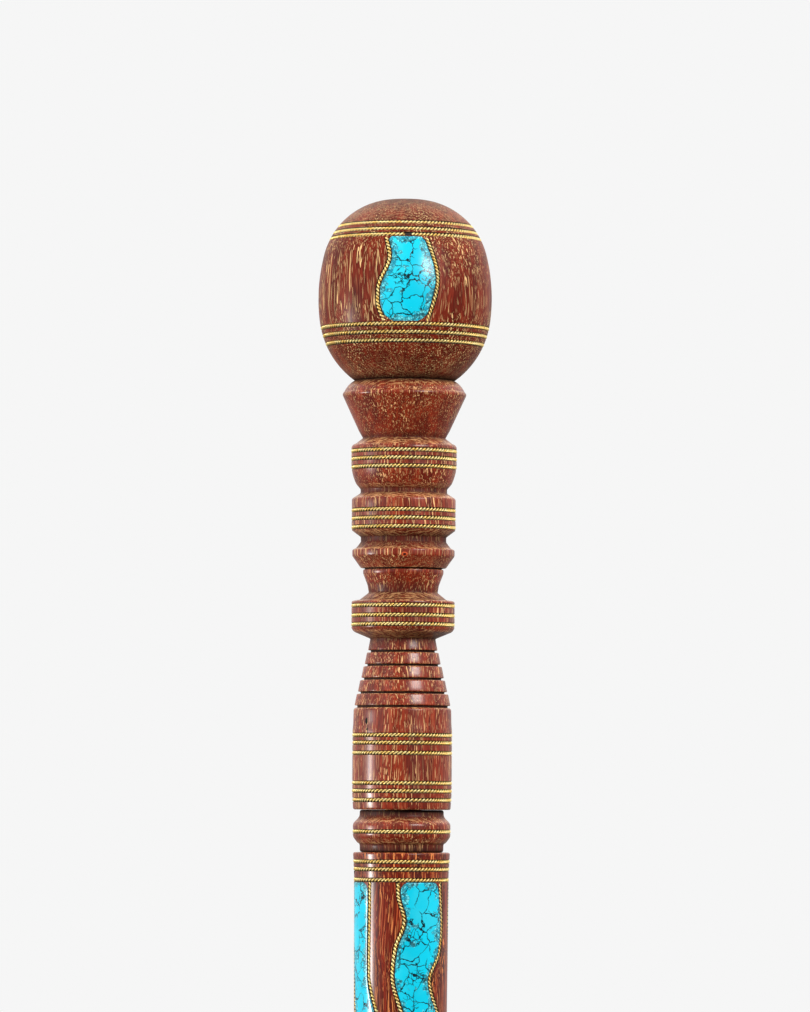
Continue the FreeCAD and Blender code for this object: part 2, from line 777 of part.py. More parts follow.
def inlaid(doc, dim, name, outline, stencils):
    """A turned wooden piece with its inlays: wood and inlays share the same recess walls.

    The core is the same outline drawn in by the inlay's thickness, so every recess is that deep.
    """
    blank = turned(doc, name + "_blank", outline(dim, ZERO), dim["stick_length"])
    core = turned(doc, name + "_core", outline(dim, dim["inlay_thickness"]), dim["stick_length"])
    pieces = {}
    recesses = []
    for label, stencil in stencils.items():
        recess = boolean(doc, "Cut", label + "_recess", stencil, core)
        recesses.append(recess)
        pieces[label] = boolean(doc, "Common", label, blank, recess)
    pieces[name] = boolean(doc, "Cut", name, blank, joined(doc, name, recesses))
    return pieces


def build(doc):
    """Makes every piece and returns them by node name."""
    dim = make_sheet(doc)
    crown = dim["stick_length"]
    lip = dim["ferrule_height"]
    pieces = {}

    knob_inlays = ring_stencils(doc, dim, ("knob_upper_wire", "knob_lower_wire"))
    knob_inlays.update(knob_panels(doc, dim))
    pieces.update(inlaid(doc, dim, "knob", knob_outline, knob_inlays))

    grip_groups = (
        "collar_a_wire",
        "collar_b_wire",
        "collar_e_wire",
        "barrel_upper_wire",
        "barrel_lower_wire",
    )
    pieces.update(inlaid(doc, dim, "grip", grip_outline, ring_stencils(doc, dim, grip_groups)))

    bead_inlays = ring_stencils(doc, dim, ("joint_bead_wire",))
    pieces.update(inlaid(doc, dim, "joint_bead", bead_outline, bead_inlays))

    shaft_inlays = ring_stencils(doc, dim, ("shaft_upper_wire", "shaft_lower_wire"))
    shaft_inlays.update(shaft_panels(doc, dim))
    pieces.update(inlaid(doc, dim, "shaft", shaft_outline, shaft_inlays))

    knob_stud = stud_outline(
        dim,
        dim["knob_stud_radius"],
        dim["knob_neck_depth"] - dim["knob_stud_embed"],
        dim["knob_neck_depth"] + dim["knob_stud_embed"],
    )
    joint_stud = stud_outline(
        dim,
        dim["joint_stud_radius"],
        dim["barrel_end"] - dim["joint_stud_embed"],
        dim["shaft_top"] + dim["joint_engagement"],
    )
    pieces["knob_stud"] = turned(doc, "knob_stud", knob_stud, crown)
    pieces["joint_stud"] = turned(doc, "joint_stud", joint_stud, crown)
    pieces["joint_insert"] = turned(doc, "joint_insert", insert_outline(dim), crown)
    pieces["rubber_ferrule"] = turned(doc, "rubber_ferrule", ferrule_outline(dim), lip)
    pieces["ferrule_washer"] = turned(doc, "ferrule_washer", washer_outline(dim), lip)
    return pieces


def check(doc, pieces):
    """Stops if any object failed, or any piece is not one valid solid."""
    for item in doc.Objects:
        if "Invalid" in item.State or "Error" in item.State:
            raise RuntimeError(f"{item.Name} failed: {item.State}")
    for name, piece in pieces.items():
        shape = piece.Shape
        if shape.isNull() or not shape.isValid() or len(shape.Solids) != 1:
            raise RuntimeError(f"{name} is not one valid solid")


def export(pieces):
    """Writes each piece to parts/NODE.step."""
    os.makedirs("parts", exist_ok=True)
    for name, piece in pieces.items():
        piece.Label = name
        piece.Shape.Solids[0].exportStep(f"parts/{name}.step")


document = FreeCAD.newDocument("walking_stick")
all_pieces = build(document)
document.recompute()
check(document, all_pieces)
export(all_pieces)
print(f"{len(all_pieces)} pieces written")
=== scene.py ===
import math

import bpy
import numpy as np
from mathutils import Matrix, Vector


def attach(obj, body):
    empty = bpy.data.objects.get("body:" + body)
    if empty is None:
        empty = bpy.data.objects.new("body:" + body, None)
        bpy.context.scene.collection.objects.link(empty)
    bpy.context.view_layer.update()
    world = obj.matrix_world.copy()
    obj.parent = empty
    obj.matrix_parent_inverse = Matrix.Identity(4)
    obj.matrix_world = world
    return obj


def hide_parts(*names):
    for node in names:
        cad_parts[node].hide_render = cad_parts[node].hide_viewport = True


# A walking stick: turned hardwood with twisted brass wires and turquoise panels.
# The shapes are worked out in millimetres and put into the frame, in metres, by build_mesh.
# A "depth" is measured down the stick from the knob's crown. A "bearing" is an angle round the
# stick, from the front (-Y) towards +X.

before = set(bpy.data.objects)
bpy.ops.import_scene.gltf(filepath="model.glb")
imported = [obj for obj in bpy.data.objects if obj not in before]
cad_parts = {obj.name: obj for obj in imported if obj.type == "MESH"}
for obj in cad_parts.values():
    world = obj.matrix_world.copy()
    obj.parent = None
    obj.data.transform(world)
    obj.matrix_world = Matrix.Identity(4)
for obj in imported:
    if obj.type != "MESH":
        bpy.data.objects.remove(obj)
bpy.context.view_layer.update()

MM = 0.001
STICK = 920.0
ON_AXIS = 1e-6
OUTSIDE = 6.5  # bores are narrower than this, or run back up the outline
ARC_STEP = 0.55
EASED_SHARE = 0.42  # how much of a side the rounding of a corner may take
FLAT_CORNER = math.radians(10)  # corners flatter than this are not rounded
# Normals are taken between places this far above and below
GROOVE_SPAN = 0.7
PANEL_SPAN = 0.4

# ---------------- outlines
# (radius, depth), or (radius, depth, bend) where the stretch that ends there is an outward arc
KNOB = (
    (0.0, 0.0), (3.57, 0.08), (21.46, 14.5, 19.4), (22.58, 32.6, 46.7), (13.24, 48.2, 22.95),
    (4.0, 48.2), (4.0, 24.2), (0.0, 24.2),
)
GRIP_TOP = (
    (4.0, 48.25), (13.24, 48.25), (15.95, 51.2, 6.0), (16.2, 52.5, 0.9), (12.0, 61.6), (10.9, 63.5),
    (12.9, 65.0), (13.95, 66.2, 1.2), (13.95, 70.0), (12.6, 75.7, 12.7), (11.45, 77.0),
    (11.45, 78.1), (13.2, 79.2), (13.75, 80.0, 0.9), (13.75, 87.9), (11.3, 89.7), (11.3, 91.0),
    (12.5, 92.6), (13.55, 93.1), (13.55, 94.7), (11.26, 97.9), (10.2, 97.9), (10.2, 98.25),
    (10.65, 98.35), (10.65, 99.3), (9.45, 102.4), (9.1, 104.4),
    (11.5, 106.3), (13.35, 106.6), (13.65, 106.9), (13.65, 113.6), (12.2, 115.1, 2.0),
)
RIBS = tuple(
    corner
    for rib in range(5)
    for corner in (
        (8.6 + 0.87 * rib, 116.6 + 3.65 * rib),
        (9.2 + 0.87 * rib, 119.65 + 3.65 * rib),
        (8.45 + 0.87 * rib, 119.65 + 3.65 * rib),
        (8.45 + 0.87 * rib, 120.25 + 3.65 * rib),
    )
)
BARREL = (
    (12.5, 134.85), (12.9, 135.3), (13.0, 139.2), (13.15, 141.0), (13.15, 157.5), (12.9, 161.45),
    (12.6, 161.75), (5.0, 161.75), (5.0, 131.75), (0.0, 131.75), (0.0, 72.2), (4.0, 72.2),
)
GRIP = GRIP_TOP + RIBS + BARREL
BEAD = (
    (5.4, 161.8), (11.1, 161.8), (11.1, 163.4), (11.6, 164.1), (12.9, 165.4), (12.9, 168.9),
    (11.7, 170.5), (11.05, 170.8), (11.05, 172.95), (5.4, 172.95),
)
SHAFT = (
    (7.0, 173.0), (12.5, 173.0), (12.8, 173.3), (12.5, 179.0), (8.0, 875.0), (8.0, 907.4),
    (7.4, 908.0), (0.0, 908.0), (0.0, 191.0), (7.0, 191.0),
)
FERRULE = (
    (8.0, 878.0), (11.4, 878.0), (12.0, 878.6), (12.0, 881.4), (11.4, 882.0), (11.7, 903.0),
    (15.4, 912.5), (16.0, 914.0), (16.0, 918.8), (14.8, 920.0, 1.2),
    (10.9, 920.0), (10.9, 919.0), (8.9, 919.0), (8.9, 920.0),
    (6.4, 920.0), (6.4, 919.0), (4.4, 919.0), (4.4, 920.0),
    (0.0, 920.0), (0.0, 909.2), (8.0, 909.2),
)

# The turned piece that each group of rings lies in, and the rings' depths
RINGS = {
    "knob_upper_wire": ("knob", (7.3, 9.1, 10.7)),
    "knob_lower_wire": ("knob", (34.5, 36.6, 38.8)),
    "collar_a_wire": ("grip", (67.0, 69.1, 71.3)),
    "collar_b_wire": ("grip", (82.7, 84.9, 87.2)),
    "collar_e_wire": ("grip", (107.9, 110.5, 112.9)),
    "barrel_upper_wire": ("grip", (142.1, 144.1, 146.8)),
    "barrel_lower_wire": ("grip", (154.7, 156.8, 159.2)),
    "joint_bead_wire": ("joint_bead", (167.5,)),
    "shaft_upper_wire": ("shaft", (175.4, 177.4, 180.2)),
    "shaft_lower_wire": ("shaft", (431.3, 434.1, 436.1)),
}
OPEN_RING = "knob_upper_wire_3"
OPEN_RING_GAP = (math.radians(2.1), 1.9)

# Border lines of the panels: (distance below the panel's top, distance sideways, slant)
KNOB_LEFT = ((0, -5.9, 0), (5.2, -5.1, 0), (14.2, -8.15, 0), (17.6, -8.2, 0.1), (22.7, -6.4, 0.45))
KNOB_RIGHT = (
    (0, 4.5, 0.4), (5.3, 6.45, 0.32), (11.6, 7.7, 0), (17.5, 6.6, -0.28), (22.7, 4.8, -0.4),
)
SHAFT_LEFT = ((0, -6.2, 0), (3, -6.2, 0), (10.2, -4.7, 0), (17.4, -6.8, -0.15))
SHAFT_RIGHT = ((0, 6.15, 0), (11.5, 6.95, 0), (18.5, 6.1, -0.25))
QUIET_LEFT = ((0, -6.2, 0), (10, -6.9, 0), (18, -5, 0))
QUIET_RIGHT = ((0, 4.7, 0), (24, 4.5, 0))
WAVE_LEFT = ((0, -7.45, 0), (14, -4.7, 0))
WAVE_RIGHT = ((1.2, 2.7, 0), (14.5, 6.9, 0))
WAVE_START = 24.5
WAVE_LENGTH = 28.0
WAVE_ROOM = 21.0
SHAFT_EDGE_END = 6.2
SHAFT_PANEL_LENGTH = 250.0
SHAFT_NARROWING = 4.5 / 696.0 / 12.5

# Groove that a wire lies in: (distance sideways, depth below the surface)
GROOVE = (
    (-0.60, 0.0), (-0.565, 0.04), (-0.55, 0.22), (-0.46, 0.40), (-0.2, 0.5),
    (0.2, 0.5), (0.46, 0.40), (0.55, 0.22), (0.565, 0.04), (0.60, 0.0),
)
WIRE_TURN = 0.31  # from the wire's middle line to a strand's
STRAND_RADIUS = 0.25
WIRE_SINK = 0.45
WIRE_PROUD = 0.05
WIRE_PITCH = 2.04
WIRE_STEPS = 11  # for each turn of the twist
WIRE_SIDES = 8
WIRE_WEAR = 0.8  # share of what stands proud that is worn away
UNEVEN_TWIST = 0.35
UNEVEN_LIFT = 0.03
BORDER_END = 0.12

# Panels and their recesses
SEAM = 0.07
RECESS = 0.38
PANEL_END = 0.06
WALL = 0.02  # how far a recess's wall leans
WOOD_COLUMNS = 14
STONE_COLUMNS = 14
CORNER_ROWS = np.array([0.0, 0.06, 0.2, 0.42, 0.7, 1.05, 1.5, 2.05])
CRUSHED_RIM = 2.4
STONE_SHRINK = 0.1
# Rounding of a panel's edge: (distance in from the edge, depth below the surface)
PANEL_ROUNDING = ((0.0, 0.10), (0.06, 0.035), (0.2, 0.0))

rng = np.random.default_rng(41)


# ---------------- outline helpers
def arc_points(start, end, bend):
    """Points after the start, up to the end, of the arc that bulges away from the stick's axis."""
    start, end = np.array(start), np.array(end)
    chord = end - start
    length = np.hypot(*chord)
    height = math.sqrt(bend * bend - length * length / 4)
    toward_axis = np.array([-chord[1], chord[0]]) / length
    centre = (start + end) / 2 + toward_axis * height
    first = math.atan2(start[1] - centre[1], start[0] - centre[0])
    last = math.atan2(end[1] - centre[1], end[0] - centre[0])
    sweep = (last - first + math.pi) % (2 * math.pi) - math.pi
    count = max(6, int(abs(sweep) * bend / ARC_STEP))
    angles = first + sweep * np.arange(1, count + 1) / count
    return [tuple(centre + bend * np.array([math.cos(a), math.sin(a)])) for a in angles]


def expanded(corners):
    """The outline as (radius, depth) points with its arcs drawn out."""
    points = []
    for index, corner in enumerate(corners):
        if len(corner) == 3:
            points.extend(arc_points(corners[index - 1][:2], corner[:2], corner[2]))
        else:
            points.append(tuple(float(x) for x in corner))
    return points


def eased(points, size):
    """The outline with its sharp corners rounded off."""
    points = [np.array(p) for p in points]
    result = []
    for index, point in enumerate(points):
        before = points[index - 1]
        after = points[(index + 1) % len(points)]
        to_before, to_after = before - point, after - point
        reach_before, reach_after = np.hypot(*to_before), np.hypot(*to_after)
        turn = abs(math.atan2(
            to_before[0] * to_after[1] - to_before[1] * to_after[0],
            to_before @ to_after,
        ))
        if point[0] < ON_AXIS or math.pi - turn < FLAT_CORNER:
            result.append(tuple(point))
            continue
        start = point + to_before / reach_before * min(size, EASED_SHARE * reach_before)
        end = point + to_after / reach_after * min(size, EASED_SHARE * reach_after)
        for t in (0.0, 0.25, 0.5, 0.75, 1.0):
            result.append(tuple((1 - t) ** 2 * start + 2 * t * (1 - t) * point + t * t * end))
    return result


class Outline:
    """An outline on which places are found by depth, on its outer side."""

    def __init__(self, corners, easing):
        self.points = np.array(eased(expanded(corners), easing))
        self.kinds = np.zeros(len(self.points), int)

    def place(self, depth):
        """(index of the point above, surface point, outward normal) on the outer side."""
        points = self.points
        for index in range(len(points) - 1):
            high, low = points[index], points[index + 1]
            if high[1] <= depth <= low[1] and low[1] - high[1] > 1e-9 and high[0] > OUTSIDE:
                share = (depth - high[1]) / (low[1] - high[1])
                along = (low - high) / np.hypot(*(low - high))
                return index, high + (low - high) * share, np.array([along[1], -along[0]])
        raise ValueError(f"no outer surface at depth {depth}")

    def smooth_place(self, depth, span=GROOVE_SPAN):
        """As place, with the normal taken over a longer stretch."""
        index, middle, _ = self.place(depth)
        upper, lower = self.place(depth - span)[1], self.place(depth + span)[1]
        along = (lower - upper) / np.hypot(*(lower - upper))
        return index, middle, np.array([along[1], -along[0]])

    def cut_groove(self, depth):
        """Cuts a wire's groove and returns the surface point and outward normal at its middle."""
        _, middle, normal = self.smooth_place(depth)
        along = np.array([-normal[1], normal[0]])
        groove = [middle + along * u - normal * v for u, v in GROOVE]
        reach = GROOVE[-1][0] + 0.01
        offsets = self.points - middle
        near = (np.abs(offsets @ along) < reach) & (np.hypot(*offsets.T) < 1.5)
        drop = near & (self.points[:, 0] > OUTSIDE)
        first = int(np.argmax(drop)) if drop.any() else self.place(depth)[0] + 1
        before = int((~drop[:first]).sum())
        points, kinds = self.points[~drop], self.kinds[~drop]
        filled = [1] * (len(groove) - 1) + [0]
        self.points = np.vstack([points[:before], groove, points[before:]])
        self.kinds = np.concatenate([kinds[:before], filled, kinds[before:]])
        return middle, normal

    def divide(self, spacing, low, high):
        """Adds points where the outer side runs further than the spacing between two depths."""
        points, kinds = [self.points[0]], [self.kinds[0]]
        for index in range(1, len(self.points)):
            start, end = self.points[index - 1], self.points[index]
            outer = min(start[0], end[0]) > OUTSIDE and end[1] > start[1]
            if outer and low <= start[1] <= high:
                count = max(1, math.ceil(np.hypot(*(end - start)) / spacing))
                for step in range(1, count):
                    points.append(start + (end - start) * step / count)
                    kinds.append(self.kinds[index - 1])
            points.append(end)
            kinds.append(self.kinds[index])
        self.points, self.kinds = np.array(points), np.array(kinds)


def whole_profile(all_corners, step=0.1):
    """The assembled stick's radius at even steps of depth."""
    radii = np.zeros(int(STICK / step) + 1)
    for corners in all_corners:
        points = expanded(corners)
        lowest = int(np.argmax([depth for _, depth in points]))
        for (r0, d0), (r1, d1) in zip(points[:lowest], points[1 : lowest + 1]):
            count = max(2, int(math.hypot(r1 - r0, d1 - d0) / step * 2))
            shares = np.linspace(0, 1, count)
            places = ((d0 + (d1 - d0) * shares) / step).round().astype(int)
            np.maximum.at(radii, places.clip(0, len(radii) - 1), r0 + (r1 - r0) * shares)
    return radii, np.arange(len(radii)) * step


def shelter(points, reach=4.5):
    """How much of the open air the stick's own shape hides from each (radius, depth), 0 to 1, which
    sets the wood's painted shade.
    """
    radii, depths = PROFILE
    result = []
    for radius, depth in points:
        near = np.abs(depths - depth) < reach
        rise = (radii[near] - radius) / (np.abs(depths[near] - depth) + 0.3)
        above = depths[near] < depth - 0.05
        high = max(0.0, rise[above].max(initial=0.0))
        low = max(0.0, rise[depths[near] > depth + 0.05].max(initial=0.0))
        result.append((math.atan(high) + math.atan(low)) / math.pi)
    return np.array(result)


PROFILE = whole_profile((KNOB, GRIP, BEAD, SHAFT, FERRULE))


# ---------------- mesh helpers
def six_volumes(p, q, r):
    """Six times the signed volume between the origin and triangles of these corners."""
    return np.einsum("ij,ij->i", p, np.cross(q, r)).sum()


def build_mesh(
    name, vertices, quads, materials, face_slots=None, triangles=(), marks=None, sharp=35
):
    """A mesh object from points in millimetres, as (x, y, height), with its faces outward."""
    vertices = np.asarray(vertices, float)
    quads = np.asarray(quads, int).reshape(-1, 4)
    triangles = np.asarray(triangles, int).reshape(-1, 3)
    a, b, c, d = (vertices[quads[:, i]] for i in range(4))
    volume = six_volumes(a, b, c) + six_volumes(a, c, d)
    volume += six_volumes(*(vertices[triangles[:, i]] for i in range(3)))
    if volume < 0:
        quads, triangles = quads[:, ::-1], triangles[:, ::-1]
    mesh = bpy.data.meshes.new(name)
    mesh.from_pydata((vertices * MM).tolist(), [], quads.tolist() + triangles.tolist())
    for material in materials:
        mesh.materials.append(material)
    if face_slots is not None:
        mesh.polygons.foreach_set("material_index", np.asarray(face_slots, np.int32))
    for label, values in (marks or {}).items():
        attribute = mesh.attributes.new(label, "FLOAT", "POINT")
        attribute.data.foreach_set("value", np.asarray(values, np.float32))
    mesh.shade_smooth()
    mesh.set_sharp_from_angle(angle=math.radians(sharp))
    obj = bpy.data.objects.new(name, mesh)
    bpy.context.scene.collection.objects.link(obj)
    return obj


def stands_for(obj, body, slot, *nodes):
    """Puts a piece on its body, in place of its CAD nodes."""
    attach(obj, body)
    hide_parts(*nodes)


def around(radius, bearing, height):
    """Points at a radius, bearing (radians) and height."""
    radius, bearing, height = np.broadcast_arrays(radius, bearing, height)
    return np.stack([radius * np.sin(bearing), -radius * np.cos(bearing), height], -1)


def skin(name, rings, crevices, materials, slots_after, sharp=35):
    """Joins each ring of points to the next, and the last to the first.

    A ring of one point lies on the axis. crevices tells how sheltered each ring is, and
    slots_after gives the slots of the faces after a ring.
    """
    sizes = [len(ring) for ring in rings]
    total = max(sizes)
    starts = np.cumsum([0] + sizes[:-1])
    on = np.arange(total)
    after = (on + 1) % total
    quads, quad_slots, triangles, triangle_slots = [], [], [], []
    for index, a in enumerate(starts):
        following = (index + 1) % len(rings)
        b = starts[following]
        if sizes[index] == sizes[following] == 1:
            continue
        if sizes[index] == 1:
            triangles.append(np.stack([np.full(total, a), b + on, b + after], 1))
            triangle_slots.extend(slots_after(index))
        elif sizes[following] == 1:
            triangles.append(np.stack([a + after, a + on, np.full(total, b)], 1))
            triangle_slots.extend(slots_after(index))
        else:
            quads.append(np.stack([a + after, a + on, b + on, b + after], 1))
            quad_slots.extend(slots_after(index))
    return build_mesh(
        name, np.vstack(rings), np.vstack(quads), materials, quad_slots + triangle_slots,
        np.vstack(triangles) if triangles else (), {"crevice": np.repeat(crevices, sizes)}, sharp,
    )


def lathe(name, outline, materials, segments=168):
    """A turned piece: the closed outline swept round the axis."""
    bearings = np.arange(segments) * 2 * math.pi / segments
    rings = [
        around(radius, bearings[:1] if radius < ON_AXIS else bearings, STICK - depth)
        for radius, depth in outline.points
    ]
    return skin(
        name, rings, shelter(outline.points), materials,
        lambda index: [outline.kinds[index]] * segments,
    )


def smooth_noise(count, waves):
    """A smooth random curve between about -1 and 1 that ends where it starts."""
    t = np.arange(count) / count * 2 * math.pi
    total = np.zeros(count)
    for wave in range(1, waves + 1):
        total += rng.normal() * np.sin(wave * t) + rng.normal() * np.cos(wave * t)
    return total / math.sqrt(2 * waves)


def unit(vectors):
    return vectors / np.linalg.norm(vectors, axis=1)[:, None]


def headings(line, closed):
    """Unit vectors along a line, at each of its points."""
    if closed:
        return unit(np.roll(line, -1, 0) - np.roll(line, 1, 0))
    return unit(np.gradient(line, axis=0))


def twisted_wire(name, centres, normals, closed, turns, material):
    """Two strands twisted round a path, worn nearly flush on their outer side."""
    count = len(centres)
    tangents = headings(centres, closed)
    sideways = unit(np.cross(normals, tangents))
    outward = np.cross(tangents, sideways)
    phase = np.arange(count) / (count if closed else count - 1) * turns * 2 * math.pi
    phase = phase + rng.uniform(0, 6.28)
    phase = phase + UNEVEN_TWIST * smooth_noise(count, max(3, int(turns / 5)))
    lift = UNEVEN_LIFT * smooth_noise(count, max(3, int(turns / 8)))
    strand_size = count * WIRE_SIDES
    spokes = np.arange(WIRE_SIDES) * 2 * math.pi / WIRE_SIDES
    vertices, quads, caps, crests = [], [], [], []
    for strand in (0.0, math.pi):
        turned = phase + strand
        arm = outward * np.cos(turned)[:, None] + sideways * np.sin(turned)[:, None]
        line = centres + outward * lift[:, None] + arm * WIRE_TURN
        heading = headings(line, closed)
        first = unit(arm - heading * np.einsum("ij,ij->i", arm, heading)[:, None])
        second = np.cross(heading, first)
        tube = line[:, None, :] + STRAND_RADIUS * (
            first[:, None, :] * np.cos(spokes)[None, :, None]
            + second[:, None, :] * np.sin(spokes)[None, :, None]
        )
        height = np.einsum("ijk,ik->ij", tube - centres[:, None, :], outward)
        excess = np.clip(height - (WIRE_SINK + WIRE_PROUD), 0, None)
        tube = tube - outward[:, None, :] * (excess * WIRE_WEAR)[:, :, None]
        base = strand_size if vertices else 0
        vertices.append(tube.reshape(-1, 3))
        crests.append(height.ravel() / (WIRE_TURN + STRAND_RADIUS))
        rows = np.arange(count if closed else count - 1)
        following = (rows + 1) % count
        for side in range(WIRE_SIDES):
            after = (side + 1) % WIRE_SIDES
            quads.append(base + np.stack([
                rows * WIRE_SIDES + side, following * WIRE_SIDES + side,
                following * WIRE_SIDES + after, rows * WIRE_SIDES + after,
            ], 1))
        if not closed:
            for row, order in ((0, 1), (count - 1, -1)):
                spin = [base + row * WIRE_SIDES + side for side in range(WIRE_SIDES)][::order]
                caps.extend(zip(spin[:1] * (WIRE_SIDES - 2), spin[1:], spin[2:]))
    return build_mesh(
        name, np.vstack(vertices), np.vstack(quads), [material], None, caps,
        {"crest": np.concatenate(crests)}, sharp=60,
    )


def ring_wire(name, middle, normal, material, gap=None):
    """A twisted wire in its ring groove.

    gap is (bearing, width) where its ends don't quite meet.
    """
    radius = middle[0] - normal[0] * WIRE_SINK
    height = STICK - (middle[1] - normal[1] * WIRE_SINK)
    length = 2 * math.pi * radius
    turns = round((length - (gap[1] if gap else 0)) / WIRE_PITCH)
    steps = turns * WIRE_STEPS
    if gap:
        half = gap[1] / 2 / radius
        bearings = gap[0] + np.linspace(half, 2 * math.pi - half, steps + 1)
    else:
        bearings = np.arange(steps) * 2 * math.pi / steps
    centres = around(radius, bearings, height)
    normals = around(normal[0], bearings, -normal[1])
    return twisted_wire(name, centres, normals, gap is None, turns, material)


# ---------------- panels
def edge_line(marks, depths):
    """(sideways place, slope) at each depth of a smooth edge through its marks."""
    marks = [tuple(float(x) for x in mark) for mark in marks]
    depths = np.asarray(depths, float)
    place, slope = np.zeros_like(depths), np.zeros_like(depths)
    for (d0, x0, m0), (d1, x1, m1) in zip(marks, marks[1:]):
        inside = (depths >= d0 - 1e-9) & (depths <= d1 + 1e-9)
        span = d1 - d0
        t = (depths[inside] - d0) / span
        place[inside] = (
            (2 * t**3 - 3 * t**2 + 1) * x0 + (t**3 - 2 * t**2 + t) * span * m0
            + (3 * t**2 - 2 * t**3) * x1 + (t**3 - t**2) * span * m1
        )
        slope[inside] = (
            (6 * t**2 - 6 * t) * x0 / span + (3 * t**2 - 4 * t + 1) * m0
            + (6 * t - 6 * t**2) * x1 / span + (3 * t**2 - 2 * t) * m1
        )
    return place, slope


def shaft_marks(quiet):
    """Left and right border marks of a shaft panel, narrowing with the taper."""
    left = list(QUIET_LEFT if quiet else SHAFT_LEFT)
    right = list(QUIET_RIGHT if quiet else SHAFT_RIGHT)
    offset = WAVE_START + (WAVE_LENGTH / 2 if quiet else 0)
    mirrored = quiet
    while offset + WAVE_ROOM < SHAFT_PANEL_LENGTH:
        wave_left, wave_right = WAVE_LEFT, WAVE_RIGHT
        if mirrored:
            wave_left = [(depth, -across, slant) for depth, across, slant in WAVE_RIGHT]
            wave_right = [(depth, -across, slant) for depth, across, slant in WAVE_LEFT]
        left.extend((offset + depth, across, slant) for depth, across, slant in wave_left)
        right.extend((offset + depth, across, slant) for depth, across, slant in wave_right)
        offset += WAVE_LENGTH
        mirrored = not mirrored
    left.append((SHAFT_PANEL_LENGTH, -SHAFT_EDGE_END, 0))
    right.append((SHAFT_PANEL_LENGTH, SHAFT_EDGE_END, 0))
    return [
        [(depth, across * (1 - SHAFT_NARROWING * depth), slant) for depth, across, slant in edge]
        for edge in (left, right)
    ]


class Panel:
    """A turquoise panel: where its borders and its own edges run on the turned surface."""

    def __init__(self, name, outline, top, length, rounds, bearing, marks):
        self.name, self.outline, self.top, self.length = name, outline, top, length
        self.rounds, self.bearing, self.marks = rounds, math.radians(bearing), marks

    def surface(self, depths):
        """Radius and outward normal of the turned surface at depths below the panel's top."""
        found = [self.outline.smooth_place(self.top + depth, PANEL_SPAN) for depth in depths]
        radii = np.array([place[1][0] for place in found])
        normals = np.array([place[2] for place in found])
        return radii, normals

    def border(self, side, depths, radii):
        """Bearing of a border's middle line and how much its slope widens it."""
        place, slope = edge_line(self.marks[side], np.clip(depths, 0, self.length))
        return self.bearing + np.arcsin(place / radii), np.sqrt(1 + slope**2)

    def corner(self, depths):
        """How far the panel's rounded corners draw its edge in from the border."""
        inset = np.zeros_like(depths)
        for distance, radius in zip((depths, self.length - depths), self.rounds):
            near = np.clip(radius - distance, 0, radius)
            inset = np.maximum(inset, radius - np.sqrt(np.clip(radius**2 - near**2, 0, None)))
        return inset

    def edges(self, depths, radii, gap):
        """Bearings of the panel's own left and right edges, a gap inside the grooves."""
        inset = GROOVE[-1][0] + gap + self.corner(depths)
        left, widen_left = self.border(0, depths, radii)
        right, widen_right = self.border(1, depths, radii)
        return left + inset * widen_left / radii, right - inset * widen_right / radii


def panel_depths(length, rounds, spacing):
    """Depths below a panel's top at which its meshes have rows, closer at the rounded corners."""
    first = CORNER_ROWS[CORNER_ROWS < rounds[0]]
    last = length - CORNER_ROWS[CORNER_ROWS < rounds[1]][::-1]
    count = math.ceil((last[0] - first[-1]) / spacing)
    middle = np.linspace(first[-1], last[0], count + 1)[1:-1]
    return np.concatenate([first, middle, last])


def radius_table(outline, panel):
    """Depths below the panel's top and the surface's radius there."""
    depths = np.linspace(0.0, panel.length, 200)
    places = [outline.smooth_place(panel.top + depth, PANEL_SPAN)[1] for depth in depths]
    return depths, np.array([place[0] for place in places])


